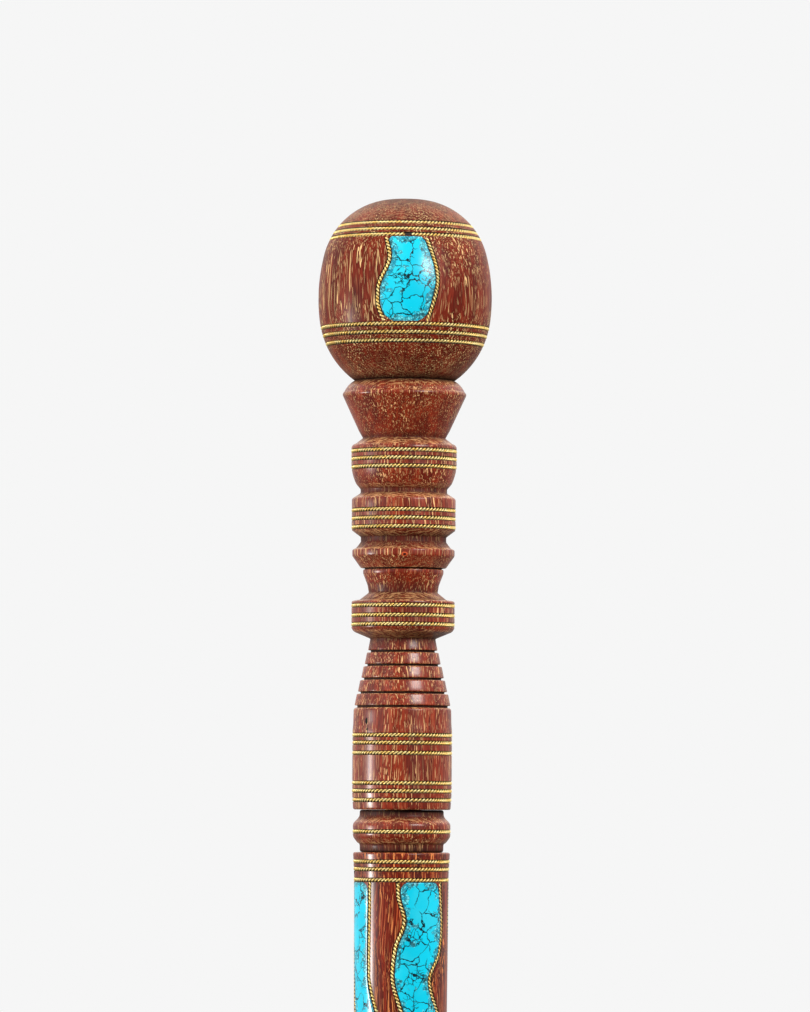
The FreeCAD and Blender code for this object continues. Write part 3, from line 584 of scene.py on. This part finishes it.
def panelled(name, outline, panels, spacing, materials):
    """A turned piece whose surface has grooves and recesses for its panels.

    Its columns follow the panels' edges, so every groove and recess has clean walls. A column of
    slot 2 is filler where the panel's corner is rounded, and wood elsewhere.
    """
    panel = panels[0]
    top, foot = panel.top + PANEL_END, panel.top + panel.length - PANEL_END
    depths = top + panel_depths(foot - top, panel.rounds, spacing)
    panel_rows = []
    for order, depth in enumerate([top - WALL, *depths, foot + WALL]):
        _, place, normal = outline.smooth_place(depth, PANEL_SPAN)
        panel_rows.append((place, normal, depth - panel.top, 0 < order <= len(depths), 0))
    rows, placed = [], False
    points = outline.points
    lowest = int(np.argmax(points[:, 1]))
    for index, (point, kind) in enumerate(zip(points, outline.kinds)):
        replaced = top - 1.5 * WALL < point[1] < foot + 1.5 * WALL
        inside = replaced and point[0] > OUTSIDE and index <= lowest
        steps_over = index > 0 and points[index - 1][1] < top and point[1] > foot
        if not placed and (inside or steps_over):
            placed = True
            rows.extend(panel_rows)
        if not inside:
            rows.append((point, np.array([1.0, 0.0]), point[1] - panel.top, False, kind))
    places, normals, below_top, sunk, slots = zip(*rows)
    held = np.clip(below_top, PANEL_END, panel.length - PANEL_END)
    radii = np.interp(held, *radius_table(outline, panel))
    columns, sinks, column_slots = [], [], []

    def column(bearing, sink, slot):
        columns.append(bearing)
        sinks.append(sink)
        column_slots.append(slot)

    def groove(middle, widening, last_slot):
        for u, v in GROOVE:
            column(middle + u * widening / radii, v, 1)
        column_slots[-1] = last_slot

    half = GROOVE[-1][0]
    thin = WALL / radii
    borders = [(*item.border(0, held, radii), *item.border(1, held, radii)) for item in panels]
    for position, (left, widen_left, right, widen_right) in enumerate(borders):
        _, _, right_before, widen_before = borders[position - 1]
        start = right_before + half * widen_before / radii
        end = left - half * widen_left / radii
        start = start - 2 * math.pi * np.ceil((start - end) / (2 * math.pi))
        for step in range(1, WOOD_COLUMNS):
            column(start + (end - start) * step / WOOD_COLUMNS, 0.0, 0)
        groove(left, widen_left, 2)
        inner_left, inner_right = panels[position].edges(held, radii, SEAM)
        column((left + half * widen_left / radii + inner_left) / 2, 0.0, 2)
        column(inner_left, 0.0, 1)
        column(inner_left + thin, RECESS, 1)
        for share in (0.33, 0.67):
            column(inner_left + (inner_right - inner_left) * share, RECESS, 1)
        column(inner_right - thin, RECESS, 1)
        column(inner_right, 0.0, 2)
        column((right - half * widen_right / radii + inner_right) / 2, 0.0, 2)
        groove(right, widen_right, 0)
    sinks, column_slots = np.array(sinks), np.array(column_slots)
    wide = panel.corner(held) > 0.2
    rings = []
    for bearings, place, normal, deep in zip(np.array(columns).T, places, normals, sunk):
        sink = sinks if deep else np.zeros(len(sinks))
        if place[0] < ON_AXIS:
            bearings, sink = bearings[:1], sink[:1]
        rings.append(around(
            place[0] - normal[0] * sink, bearings, STICK - (place[1] - normal[1] * sink)
        ))

    def slots_after(index):
        following = (index + 1) % len(rows)
        if sunk[index] and sunk[following]:
            return np.where(column_slots == 2, 0 if wide[index] else 1, column_slots)
        if sunk[index] or sunk[following]:
            return np.where((sinks + np.roll(sinks, -1)) > 0, 1, 0)
        return np.full(len(sinks), slots[index])

    return skin(name, rings, shelter(places), materials, slots_after)


def turquoise_panel(name, item, spacing, material):
    """The panel itself: a flush slab with slightly rounded edges, down to its recess's floor."""
    depths = panel_depths(item.length - 2 * STONE_SHRINK, item.rounds, spacing) + STONE_SHRINK
    radii, normals = item.surface(depths)
    left, right = item.edges(depths, radii, SEAM + 0.03)
    across = (right - left) * radii
    flat = PANEL_ROUNDING[-1][0] / across
    near = [(np.minimum(distance / across, 0.3), sink) for distance, sink in PANEL_ROUNDING]
    middle = [
        (flat + (1 - 2 * flat) * step / STONE_COLUMNS, 0.0) for step in range(1, STONE_COLUMNS)
    ]
    far = [(1 - place, sink) for place, sink in reversed(near)]
    places, sinks = zip(*near, *middle, *far)
    places = np.array(places).T
    sinks = np.tile(sinks, (len(depths), 1))
    for row, extra in ((0, 0.10), (1, 0.04), (-1, 0.10), (-2, 0.04)):
        sinks[row] = np.maximum(sinks[row], extra)
    bearings = left[:, None] + (right - left)[:, None] * places
    heights = STICK - item.top - depths

    def sheet(sink):
        drawn_in = radii[:, None] - normals[:, :1] * sink
        return around(
            drawn_in, bearings, heights[:, None] + normals[:, 1:] * sink
        ).reshape(-1, 3)

    upper, lower = sheet(sinks), sheet(np.full_like(sinks, RECESS - 0.01))
    rows, columns = places.shape
    index = np.arange(rows * columns).reshape(rows, columns)
    face = np.stack([index[:-1, :-1], index[:-1, 1:], index[1:, 1:], index[1:, :-1]], -1)
    face = face.reshape(-1, 4)
    base = rows * columns
    walls = []
    for line, flip in ((index[0], 1), (index[-1], -1), (index[:, 0], -1), (index[:, -1], 1)):
        for p, q in zip(line[:-1], line[1:]):
            walls.append((q, p, base + p, base + q)[::flip])
    edge = np.minimum.reduce([
        places * across[:, None], (1 - places) * across[:, None],
        np.broadcast_to(depths[:, None] - STONE_SHRINK, places.shape),
        np.broadcast_to(item.length - STONE_SHRINK - depths[:, None], places.shape),
    ])
    rim = np.clip(1 - edge / CRUSHED_RIM, 0, 1).ravel()
    return build_mesh(
        name, np.vstack([upper, lower]), np.vstack([face, base + face[:, ::-1], walls]),
        [material], marks={"rim": np.concatenate([rim, rim])}, sharp=50,
    )


def border_wire(name, item, side, material):
    """The twisted wire down one side of a panel."""
    fine = np.linspace(BORDER_END, item.length - BORDER_END, int(item.length * 6))
    table = radius_table(item.outline, item)
    radii = np.interp(fine, *table)
    bearings, _ = item.border(side, fine, radii)
    points = around(radii, bearings, STICK - item.top - fine)
    steps = np.linalg.norm(np.diff(points, axis=0), axis=1)
    lengths = np.concatenate([[0], np.cumsum(steps)])
    turns = round(lengths[-1] / WIRE_PITCH)
    wanted = np.linspace(0, lengths[-1], turns * WIRE_STEPS + 1)
    depths = np.interp(wanted, lengths, fine)
    radii = np.interp(depths, *table)
    bearings, _ = item.border(side, depths, radii)
    slope = np.gradient(table[1], table[0])
    lean = np.interp(depths, table[0], slope)
    size = np.sqrt(1 + lean**2)
    normals = around(1 / size, bearings, lean / size)
    centres = around(radii, bearings, STICK - item.top - depths) - normals * WIRE_SINK
    return twisted_wire(name, centres, normals, False, turns, material)


# ---------------- materials
class Graph:
    """A material's or world's nodes, added and linked in one call each."""

    def __init__(self, owner):
        owner.use_nodes = True
        self.owner, self.tree = owner, owner.node_tree

    def add(self, kind, inputs=(), **settings):
        node = self.tree.nodes.new("ShaderNode" + kind)
        for label, value in settings.items():
            setattr(node, label, value)
        for key, value in dict(inputs).items():
            self.put(node.inputs[key], value)
        return node

    def put(self, socket, value):
        if isinstance(value, bpy.types.NodeSocket):
            self.tree.links.new(value, socket)
        else:
            socket.default_value = value

    def math(self, operation, a, b=0.0):
        return self.add("Math", {0: a, 1: b}, operation=operation).outputs[0]

    def product(self, a, b):
        return self.math("MULTIPLY", a, b)

    def vector(self, operation, a, b):
        return self.add("VectorMath", {0: a, 1: b}, operation=operation).outputs[0]

    def length(self, vector):
        return self.add("VectorMath", {0: vector}, operation="LENGTH").outputs["Value"]

    def scaled(self, vector, scale, shift=(0, 0, 0)):
        scale = scale if isinstance(scale, tuple) else (scale, scale, scale)
        return self.add("Mapping", {0: vector, 1: shift, 3: scale}).outputs[0]

    def noise(self, vector, scale, detail=2.0, roughness=0.5, colour=False, shift=(0, 0, 0)):
        node = self.add("TexNoise", {
            "Vector": self.scaled(vector, scale, shift), "Scale": 1.0, "Detail": detail,
            "Roughness": roughness,
        })
        return node.outputs["Color" if colour else "Fac"]

    def drift(self, vector, scale, detail, amount):
        """A smooth random displacement."""
        noise = self.noise(vector, scale, detail, colour=True)
        return self.vector("MULTIPLY", self.vector("SUBTRACT", noise, (0.5, 0.5, 0.5)), amount)

    def cell_edges(self, vector, size, low, high):
        """1 on the lines between random cells of a size, 0 inside the cells."""
        cells = self.add(
            "TexVoronoi", {"Vector": vector, "Scale": 1 / size}, feature="DISTANCE_TO_EDGE"
        )
        return self.ramp(cells.outputs["Distance"], low, high, 1.0, 0.0)

    def cell_value(self, vector, size, channel):
        """A random number between 0 and 1 for each cell."""
        cells = self.add("TexVoronoi", {"Vector": vector, "Scale": 1 / size})
        return self.add("SeparateColor", {0: cells.outputs["Color"]}).outputs[channel]

    def ramp(self, value, low, high, first=0.0, last=1.0):
        return self.add(
            "MapRange", {0: value, 1: low, 2: high, 3: first, 4: last},
            interpolation_type="SMOOTHSTEP",
        ).outputs[0]

    def mix(self, factor, a, b):
        return self.add("Mix", {0: factor, 6: a, 7: b}, data_type="RGBA").outputs[2]

    def attribute(self, name):
        return self.add("Attribute", attribute_name=name).outputs["Fac"]

    def place(self):
        """The piece's own place in millimetres."""
        spot = self.add("TexCoord").outputs["Object"]
        return self.scaled(spot, 1000)

    def bump(self, height, strength, distance):
        node = self.add("Bump", {
            "Strength": strength, "Distance": distance * MM, "Height": height,
        })
        self.finish(Normal=node.outputs[0])

    def finish(self, **sockets):
        """Puts values or sockets on the surface's shader and returns its material."""
        shader = self.tree.nodes["Principled BSDF"]
        for label, value in sockets.items():
            self.put(shader.inputs[label.replace("_", " ")], value)
        return self.owner


def material_graph(name):
    return Graph(bpy.data.materials.new(name))


def rgb(red, green, blue):
    """A screen colour as the linear one that shaders take."""
    channels = []
    for value in (red, green, blue):
        value /= 255
        channels.append(value / 12.92 if value <= 0.04045 else ((value + 0.055) / 1.055) ** 2.4)
    return (*channels, 1.0)


def hardwood(name, shift, tones, pore, figure_length, contrast, rays, varnish, flaws=()):
    """Turned hardwood with open pores along the grain, which runs up the stick, darkened with
    painted shade where its own shape shelters it.

    tones are (deep, warm, pale, dark); pore is (fineness across the grain, length, threshold);
    contrast is that of the fibres and varnish the weight of the coat; rays is the strength of
    the wandering lines on surfaces that cut across the grain; flaws are (place, half sizes,
    colour) of single marks.
    """
    deep, warm, pale, dark = tones
    g = material_graph(name)
    place = g.place()
    spot = g.vector("ADD", place, shift)
    wander = g.drift(spot, (0.05, 0.05, 0.03), 1.0, (5.0, 5.0, 0.0))
    ripple = g.drift(spot, (0.3, 0.3, 0.08), 1.0, (0.9, 0.9, 0.0))
    grain = g.vector("ADD", g.vector("ADD", spot, wander), ripple)
    facing = g.add("SeparateXYZ", {0: g.add("NewGeometry").outputs["Normal"]}).outputs[2]
    end_grain = g.ramp(g.math("ABSOLUTE", facing), 0.45, 0.85)

    figure = g.noise(grain, (0.5, 0.3, 0.5 / figure_length), detail=3.0, roughness=0.65)
    tone = g.mix(g.ramp(figure, 0.38, 0.62), deep, warm)
    fibre = g.noise(grain, (3.4, 3.4, 1 / figure_length), detail=2.0, roughness=0.7)
    tone = g.mix(g.ramp(fibre, 0.40, 0.62, contrast, 0.0), tone, dark)
    tone = g.mix(g.ramp(fibre, 0.55, 0.75, 0.0, contrast * 0.6), tone, pale)

    def pores(across, length, offset, low, high):
        """The open pores and the dark lips round them."""
        inside = g.vector("ADD", grain, offset)
        value = g.noise(inside, (across, across, 0.5 / length), detail=1.0, roughness=0.4)
        return g.ramp(value, low, high), g.ramp(value, low - 0.09, low)

    crowd = g.noise(spot, (0.11, 0.11, 0.07))
    crowd = g.ramp(crowd, 0.38, 0.60, 0.15, 1.0)
    across, pore_length, edge = pore
    wide, wide_lip = pores(across, pore_length, (7.1, 3.3, 5.0), edge, edge + 0.025)
    fine, fine_lip = pores(
        across * 1.7, pore_length * 0.6, (1.7, 8.2, 2.0), edge + 0.02, edge + 0.06
    )
    lips = g.math("MAXIMUM", g.product(wide_lip, crowd), g.product(fine_lip, 0.6))
    tone = g.mix(g.product(lips, 0.8), tone, dark)
    open_pores = g.math("MAXIMUM", g.product(wide, crowd), g.product(fine, 0.75))
    open_pores = g.product(open_pores, g.ramp(end_grain, 0, 1, 1.0, 0.75))
    tone = g.mix(open_pores, tone, pale)

    bands = g.add("TexWave", {
        "Vector": g.scaled(grain, (0.10, 0.36, 0.0)), "Scale": 1.0, "Distortion": 8.0,
        "Detail": 2.0, "Detail Scale": 4.5,
    }, wave_type="BANDS", bands_direction="Y").outputs["Fac"]
    lines = g.product(g.ramp(bands, 0.66, 0.86), g.ramp(end_grain, 0, 1, 0.0, rays))
    tone = g.mix(lines, tone, pale)

    # Painted shade: the wood is darkened towards near black in its necks and grooves, where the
    # stick's own shape shelters it. The flaws added below are real marks, and they share this mask
    # for the coat and roughness.
    crevice = g.attribute("crevice")
    painted_shade_and_flaws = g.ramp(crevice, 0.18, 0.56, 0.0, 0.92)
    tone = g.mix(painted_shade_and_flaws, tone, rgb(22, 7, 4))
    for where, sizes, colour in flaws:
        away = g.vector("DIVIDE", g.vector("SUBTRACT", place, where), sizes)
        mark = g.ramp(g.length(away), 0.8, 1.0, 1.0, 0.0)
        tone = g.mix(mark, tone, colour)
        painted_shade_and_flaws = g.math("MAXIMUM", painted_shade_and_flaws, mark)
    height = g.math("SUBTRACT", g.product(fibre, 0.35), g.product(open_pores, 0.8))
    g.bump(height, 0.45, 0.06)
    rough = g.math("ADD", g.ramp(fibre, 0.2, 0.8, 0.34, 0.46), g.product(open_pores, 0.2))
    rough = g.math("ADD", rough, g.product(painted_shade_and_flaws, 0.3))
    return g.finish(
        Base_Color=tone, Roughness=rough, Specular_IOR_Level=0.12 + 0.25 * varnish,
        Coat_Weight=g.ramp(painted_shade_and_flaws, 0.0, 0.8, varnish, 0.0), Coat_Roughness=0.22,
    )


def turquoise_stone(name, clear, pale):
    """Blocks of turquoise with a dark matrix, bedded in crushed stone near the panel's edges."""
    g = material_graph(name)
    block, chip, crumb = 4.6, 1.9, 0.62
    spot = g.place()
    bend = g.drift(spot, 0.3, 2.0, (3.6, 3.6, 3.6))
    jag = g.drift(spot, 2.2, 2.0, (0.5, 0.5, 0.5))
    bent = g.vector("ADD", g.vector("ADD", spot, bend), jag)
    vein = g.cell_edges(bent, block, 0.014, 0.036)
    here = g.noise(spot, 0.16)
    vein = g.product(vein, g.ramp(here, 0.34, 0.42))
    cracks = g.product(g.cell_edges(bent, chip, 0.02, 0.055), g.ramp(here, 0.56, 0.62))
    vein = g.math("MAXIMUM", vein, cracks)
    shade = g.cell_value(bent, block, 1)

    rim = g.attribute("rim")
    patch = g.noise(spot, 0.28, detail=3.0, roughness=0.6, shift=(3, 9, 4))
    crushed = g.math("ADD", patch, g.product(rim, 0.26))
    crushed = g.ramp(crushed, 0.60, 0.66)
    joints = g.cell_edges(spot, crumb, 0.05, 0.16)
    bit_tone = g.cell_value(spot, crumb, 0)
    specks = g.ramp(bit_tone, 0.86, 0.92)

    cloud = g.noise(spot, 0.12, detail=3.0, shift=(1, 2, 3))
    tone = g.mix(g.ramp(cloud, 0.42, 0.70, 0.0, 0.5), clear, pale)
    tone = g.mix(g.ramp(shade, 0.0, 1.0, 0.0, 0.22), tone, rgb(0, 176, 208))
    gravel = g.mix(g.ramp(bit_tone, 0.0, 0.8), rgb(0, 170, 204), rgb(110, 240, 255))
    gravel = g.mix(g.product(joints, 0.7), gravel, rgb(0, 84, 104))
    gravel = g.mix(g.product(specks, 0.8), gravel, rgb(6, 40, 50))
    tone = g.mix(crushed, tone, gravel)
    tone = g.mix(g.product(vein, g.ramp(crushed, 0, 1, 1.0, 0.6)), tone, rgb(4, 34, 44))
    height = g.product(g.math("MAXIMUM", vein, g.product(joints, crushed)), -1.0)
    g.bump(height, 0.25, 0.04)
    rough = g.ramp(crushed, 0, 1, 0.24, 0.36)
    return g.finish(
        Base_Color=tone, Roughness=rough, Specular_IOR_Level=0.3,
        Coat_Weight=0.2, Coat_Roughness=0.12,
    )


def brass_wire(name):
    """Bright twisted wire, a little uneven in colour, with painted shade in the valleys between its
    strands.
    """
    g = material_graph(name)
    spot = g.place()
    patches = g.noise(spot, 0.7, detail=3.0)
    tone = g.mix(g.ramp(patches, 0.3, 0.7), rgb(255, 208, 104), rgb(255, 238, 168))
    fine = g.noise(spot, 6)
    tone = g.mix(g.ramp(fine, 0.60, 0.8, 0, 0.4), tone, rgb(140, 100, 48))
    # Painted shade: the wire is darkened where its strands dip down between the twists.
    strand_gap_shade = g.ramp(g.attribute("crest"), 0.20, 0.62, 0.75, 0.0)
    tone = g.mix(strand_gap_shade, tone, rgb(124, 68, 20))
    g.bump(fine, 0.2, 0.03)
    return g.finish(Base_Color=tone, Metallic=0.4, Roughness=g.ramp(patches, 0.2, 0.8, 0.26, 0.4))


def turned_metal(name, tint, scuffed, rough):
    """Machined metal with fine turning lines round the stick's axis."""
    g = material_graph(name)
    spot = g.place()
    lines = g.noise(spot, (0.6, 0.6, 9.0), detail=3.0)
    wear = g.noise(spot, 0.5, detail=4.0)
    tone = g.mix(g.ramp(wear, 0.4, 0.7), tint, scuffed)
    g.bump(lines, 0.3, 0.03)
    rough = g.ramp(lines, 0.2, 0.8, rough, rough + 0.14)
    return g.finish(Base_Color=tone, Metallic=1.0, Roughness=rough)


def dark_filler(name):
    """Dark resin in the grooves and recesses."""
    g = material_graph(name)
    spot = g.place()
    grit = g.noise(spot, 4, detail=3.0)
    tone = g.mix(g.ramp(grit, 0.4, 0.7), rgb(20, 12, 9), rgb(58, 34, 22))
    g.bump(grit, 0.4, 0.05)
    return g.finish(Base_Color=tone, Roughness=g.ramp(grit, 0, 1, 0.45, 0.65))


def moulded_rubber(name):
    """Matt black rubber with a fine moulded grain and a little dust."""
    g = material_graph(name)
    spot = g.place()
    grain = g.noise(spot, 5, detail=3.0, roughness=0.7)
    dust = g.noise(spot, 0.2, detail=4.0)
    tone = g.mix(g.ramp(dust, 0.45, 0.75), rgb(30, 30, 31), rgb(54, 52, 50))
    g.bump(grain, 0.35, 0.06)
    return g.finish(Base_Color=tone, Roughness=g.ramp(dust, 0.3, 0.7, 0.62, 0.78))


def pale_floor(name):
    """A plain pale studio floor, painted darker near the stick to even out the lamps' pool of
    light.
    """
    g = material_graph(name)
    spot = g.place()
    mottle = g.noise(spot, 0.004, detail=3.0)
    tone = g.mix(g.ramp(mottle, 0.3, 0.7), (0.72, 0.72, 0.72, 1), (0.75, 0.75, 0.75, 1))
    # Painted shade: darker near the stick, where the lamps light the floor most, and paler further
    # out.
    tone = g.mix(g.ramp(g.length(spot), 600, 4000), tone, (0.97, 0.97, 0.97, 1))
    return g.finish(Base_Color=tone, Roughness=0.7)


soot = rgb(34, 10, 6)
knob_wood = hardwood(
    "knob_hardwood", (11, 5, 0),
    (rgb(106, 28, 14), rgb(144, 46, 25), rgb(255, 210, 146), soot), (3.0, 8.5, 0.634),
    figure_length=10.0, contrast=0.36, rays=0.18, varnish=0.03,
)
grip_wood = hardwood(
    "grip_hardwood", (-23, 17, 40),
    (rgb(126, 35, 16), rgb(168, 56, 27), rgb(255, 194, 132), soot), (3.0, 3.8, 0.633),
    figure_length=12.0, contrast=0.42, rays=0.8, varnish=0.4,
    flaws=(
        ((-9.5, -9.0, 781.6), (0.45, 0.6, 0.95), rgb(10, 4, 3)),
        ((-9.3, -9.2, 779.4), (0.25, 0.5, 0.35), rgb(12, 5, 4)),
        ((0.3, -13.5, 825.4), (0.95, 0.6, 0.7), rgb(212, 92, 48)),
        ((0.3, -13.5, 825.4), (0.5, 0.6, 0.35), rgb(70, 14, 8)),
    ),
)
shaft_wood = hardwood(
    "shaft_hardwood", (37, -29, 90),
    (rgb(98, 17, 3), rgb(160, 42, 9), rgb(255, 154, 84), soot), (3.6, 8.0, 0.626),
    figure_length=22.0, contrast=0.6, rays=0.6, varnish=0.4,
    flaws=(((-12.6, -1.8, 741.9), (0.6, 0.9, 0.75), rgb(8, 4, 3)),),
)
stone = turquoise_stone("turquoise", rgb(0, 222, 255), rgb(72, 232, 255))
wire_metal = brass_wire("brass_wire")
filler = dark_filler("dark_filler")
rubber = moulded_rubber("rubber")
brass = turned_metal("machined_brass", rgb(214, 172, 96), rgb(176, 132, 66), 0.22)
steel = turned_metal("plated_steel", rgb(176, 178, 182), rgb(140, 142, 146), 0.28)

# ---------------- pieces
outlines = {
    "knob": Outline(KNOB, 0.2),
    "grip": Outline(GRIP, 0.28),
    "joint_bead": Outline(BEAD, 0.7),
    "shaft": Outline(SHAFT, 0.25),
}
plain_knob, plain_shaft = Outline(KNOB, 0.2), Outline(SHAFT, 0.25)
homes = {"knob": "handle", "grip": "handle", "joint_bead": "joint_bead", "shaft": "shaft"}
for group, (owner, depths) in RINGS.items():
    for number, depth in enumerate(depths, start=1):
        node = f"{group}_{number}"
        middle, normal = outlines[owner].cut_groove(depth)
        gap = OPEN_RING_GAP if node == OPEN_RING else None
        wire = ring_wire(node + "_twist", middle, normal, wire_metal, gap)
        stands_for(wire, homes[owner], "brass_wire", node)

knob_panels = [
    Panel(
        f"knob_turquoise_{number + 1}", plain_knob, top=11.25, length=22.7, rounds=(1.4, 2.6),
        bearing=2.5 + 120 * number, marks=(KNOB_LEFT, KNOB_RIGHT),
    )
    for number in range(3)
]
shaft_panels = [
    Panel(
        f"shaft_turquoise_{number + 1}", plain_shaft, top=180.75, length=SHAFT_PANEL_LENGTH,
        rounds=(2.4, 2.4), bearing=26 - 90 * number, marks=shaft_marks(number % 2 == 1),
    )
    for number in (3, 2, 1, 0)
]

outlines["knob"].divide(spacing=0.6, low=0, high=60)
outlines["grip"].divide(spacing=1.2, low=60, high=170)
for node, panels, spacing, wood, body in (
    ("knob", knob_panels, 0.55, knob_wood, "handle"),
    ("shaft", shaft_panels, 0.9, shaft_wood, "shaft"),
):
    turned = panelled(node + "_turned", outlines[node], panels, spacing, [wood, filler])
    stands_for(turned, body, "hardwood", node)
    for item in panels:
        slab = turquoise_panel(item.name + "_slab", item, spacing, stone)
        stands_for(slab, body, "turquoise", item.name)
        for side, label in enumerate(("left", "right")):
            border = item.name.replace("turquoise", "border") + "_" + label
            wire = border_wire(border + "_twist", item, side, wire_metal)
            stands_for(wire, body, "brass_wire", border)

grip = lathe("grip_turned", outlines["grip"], [grip_wood, filler])
stands_for(grip, "handle", "hardwood", "grip")
bead = lathe("joint_bead_turned", outlines["joint_bead"], [grip_wood, filler])
stands_for(bead, "joint_bead", "hardwood", "joint_bead")
ferrule = lathe("rubber_ferrule_moulded", Outline(FERRULE, 0.3), [rubber], 128)
stands_for(ferrule, "shaft", "rubber", "rubber_ferrule")


def threaded_stud(name, top, foot, material):
    """An M10 stud of 1.5 mm pitch with a real helical thread and chamfered ends."""
    pitch, crest, root, chamfer = 1.5, 4.96, 4.06, 0.8
    segments, per_turn = 48, 12
    bearings = np.arange(segments) * 2 * math.pi / segments
    rings = [around(0.0, bearings[:1], STICK - top)]
    for depth in np.linspace(top, foot, int((foot - top) / pitch * per_turn) + 1):
        turn = ((depth / pitch) + bearings / (2 * math.pi)) % 1.0
        flank = np.clip(np.abs(turn - 0.5) * 2.6 - 0.15, 0, 1)
        radius = root + (crest - root) * flank
        limit = crest - max(0.0, chamfer - min(depth - top, foot - depth))
        rings.append(around(np.minimum(radius, limit), bearings, STICK - depth))
    rings.append(around(0.0, bearings[:1], STICK - foot))
    return skin(
        name, rings, np.zeros(len(rings)), [material], lambda index: [0] * segments, sharp=45
    )


stud = threaded_stud("joint_stud_thread", top=131.75, foot=188.0, material=brass)
stands_for(stud, "handle", "brass", "joint_stud")
for node, material in (("joint_insert", brass), ("knob_stud", steel), ("ferrule_washer", steel)):
    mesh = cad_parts[node].data
    mesh.materials.clear()
    mesh.materials.append(material)

# ---------------- floor, light and camera
bpy.ops.mesh.primitive_circle_add(vertices=96, radius=9.0, fill_type="NGON")
floor = bpy.context.object
floor.name = "studio_floor"
floor.data.materials.append(pale_floor("studio_floor"))
# It throws no light on the stick and does not show in it.
floor.visible_diffuse = False
floor.visible_glossy = False

scene = bpy.context.scene
scene.view_settings.view_transform = "Standard"
scene.view_settings.look = "None"

# The sky is brighter overhead and behind the stick. The camera sees a plain pale backdrop.
scene.world = bpy.data.worlds.new("studio")
sky = Graph(scene.world)
sky.tree.nodes.clear()
towards = sky.add("SeparateXYZ", {0: sky.add("TexCoord").outputs["Generated"]}).outputs
rise = sky.ramp(towards[2], -0.5, 1.0, 0.18, 1.42)
back = sky.ramp(towards[1], -0.8, 0.6, 0.35, 1.2)
lit = sky.add("Background", {0: (1.0, 0.985, 0.97, 1), 1: sky.product(rise, back)}).outputs[0]
shown = sky.add("Background", {0: rgb(246, 246, 246)}).outputs[0]
seen = sky.add("LightPath").outputs["Is Camera Ray"]
pick = sky.add("MixShader", {0: seen, 1: lit, 2: shown})
sky.add("OutputWorld", {0: pick.outputs[0]})


def softbox(name, azimuth, height, distance, size, power):
    """An area light at an azimuth from the front towards +X, aimed at the grip."""
    light = bpy.data.lights.new(name, "AREA")
    light.shape = "RECTANGLE"
    light.size, light.size_y = size
    light.energy = power
    light.color = (1, 0.97, 0.93)
    obj = bpy.data.objects.new(name, light)
    scene.collection.objects.link(obj)
    angle = math.radians(azimuth)
    place = Vector((distance * math.sin(angle), -distance * math.cos(angle), height))
    obj.location = place
    obj.rotation_euler = (GRIP_MIDDLE - place).to_track_quat("-Z", "Y").to_euler()
    obj.visible_camera = False


GRIP_MIDDLE = Vector((0, 0, 0.82))
softbox("key_box", azimuth=38, height=1.49, distance=1.5, size=(0.7, 0.3), power=22)
softbox("fill_box", azimuth=-42, height=1.35, distance=1.8, size=(1.0, 1.0), power=4)
softbox("side_strip", azimuth=-80, height=0.66, distance=1.5, size=(0.24, 0.16), power=15)

# The photo's framing: level with the grip, looking slightly up
lens = bpy.data.cameras.new("camera")
lens.sensor_width = 36
lens.sensor_fit = "AUTO"
lens.lens = 242
lens.clip_end = 60
camera = bpy.data.objects.new("camera", lens)
scene.collection.objects.link(camera)
camera.location = (0.00033, -1.8, 0.761)
tilt = Matrix.Rotation(math.radians(90 + 2.469), 3, "X")
roll = Matrix.Rotation(math.radians(0.377), 3, "Z")
camera.rotation_euler = (tilt @ roll).to_euler()
scene.camera = camera
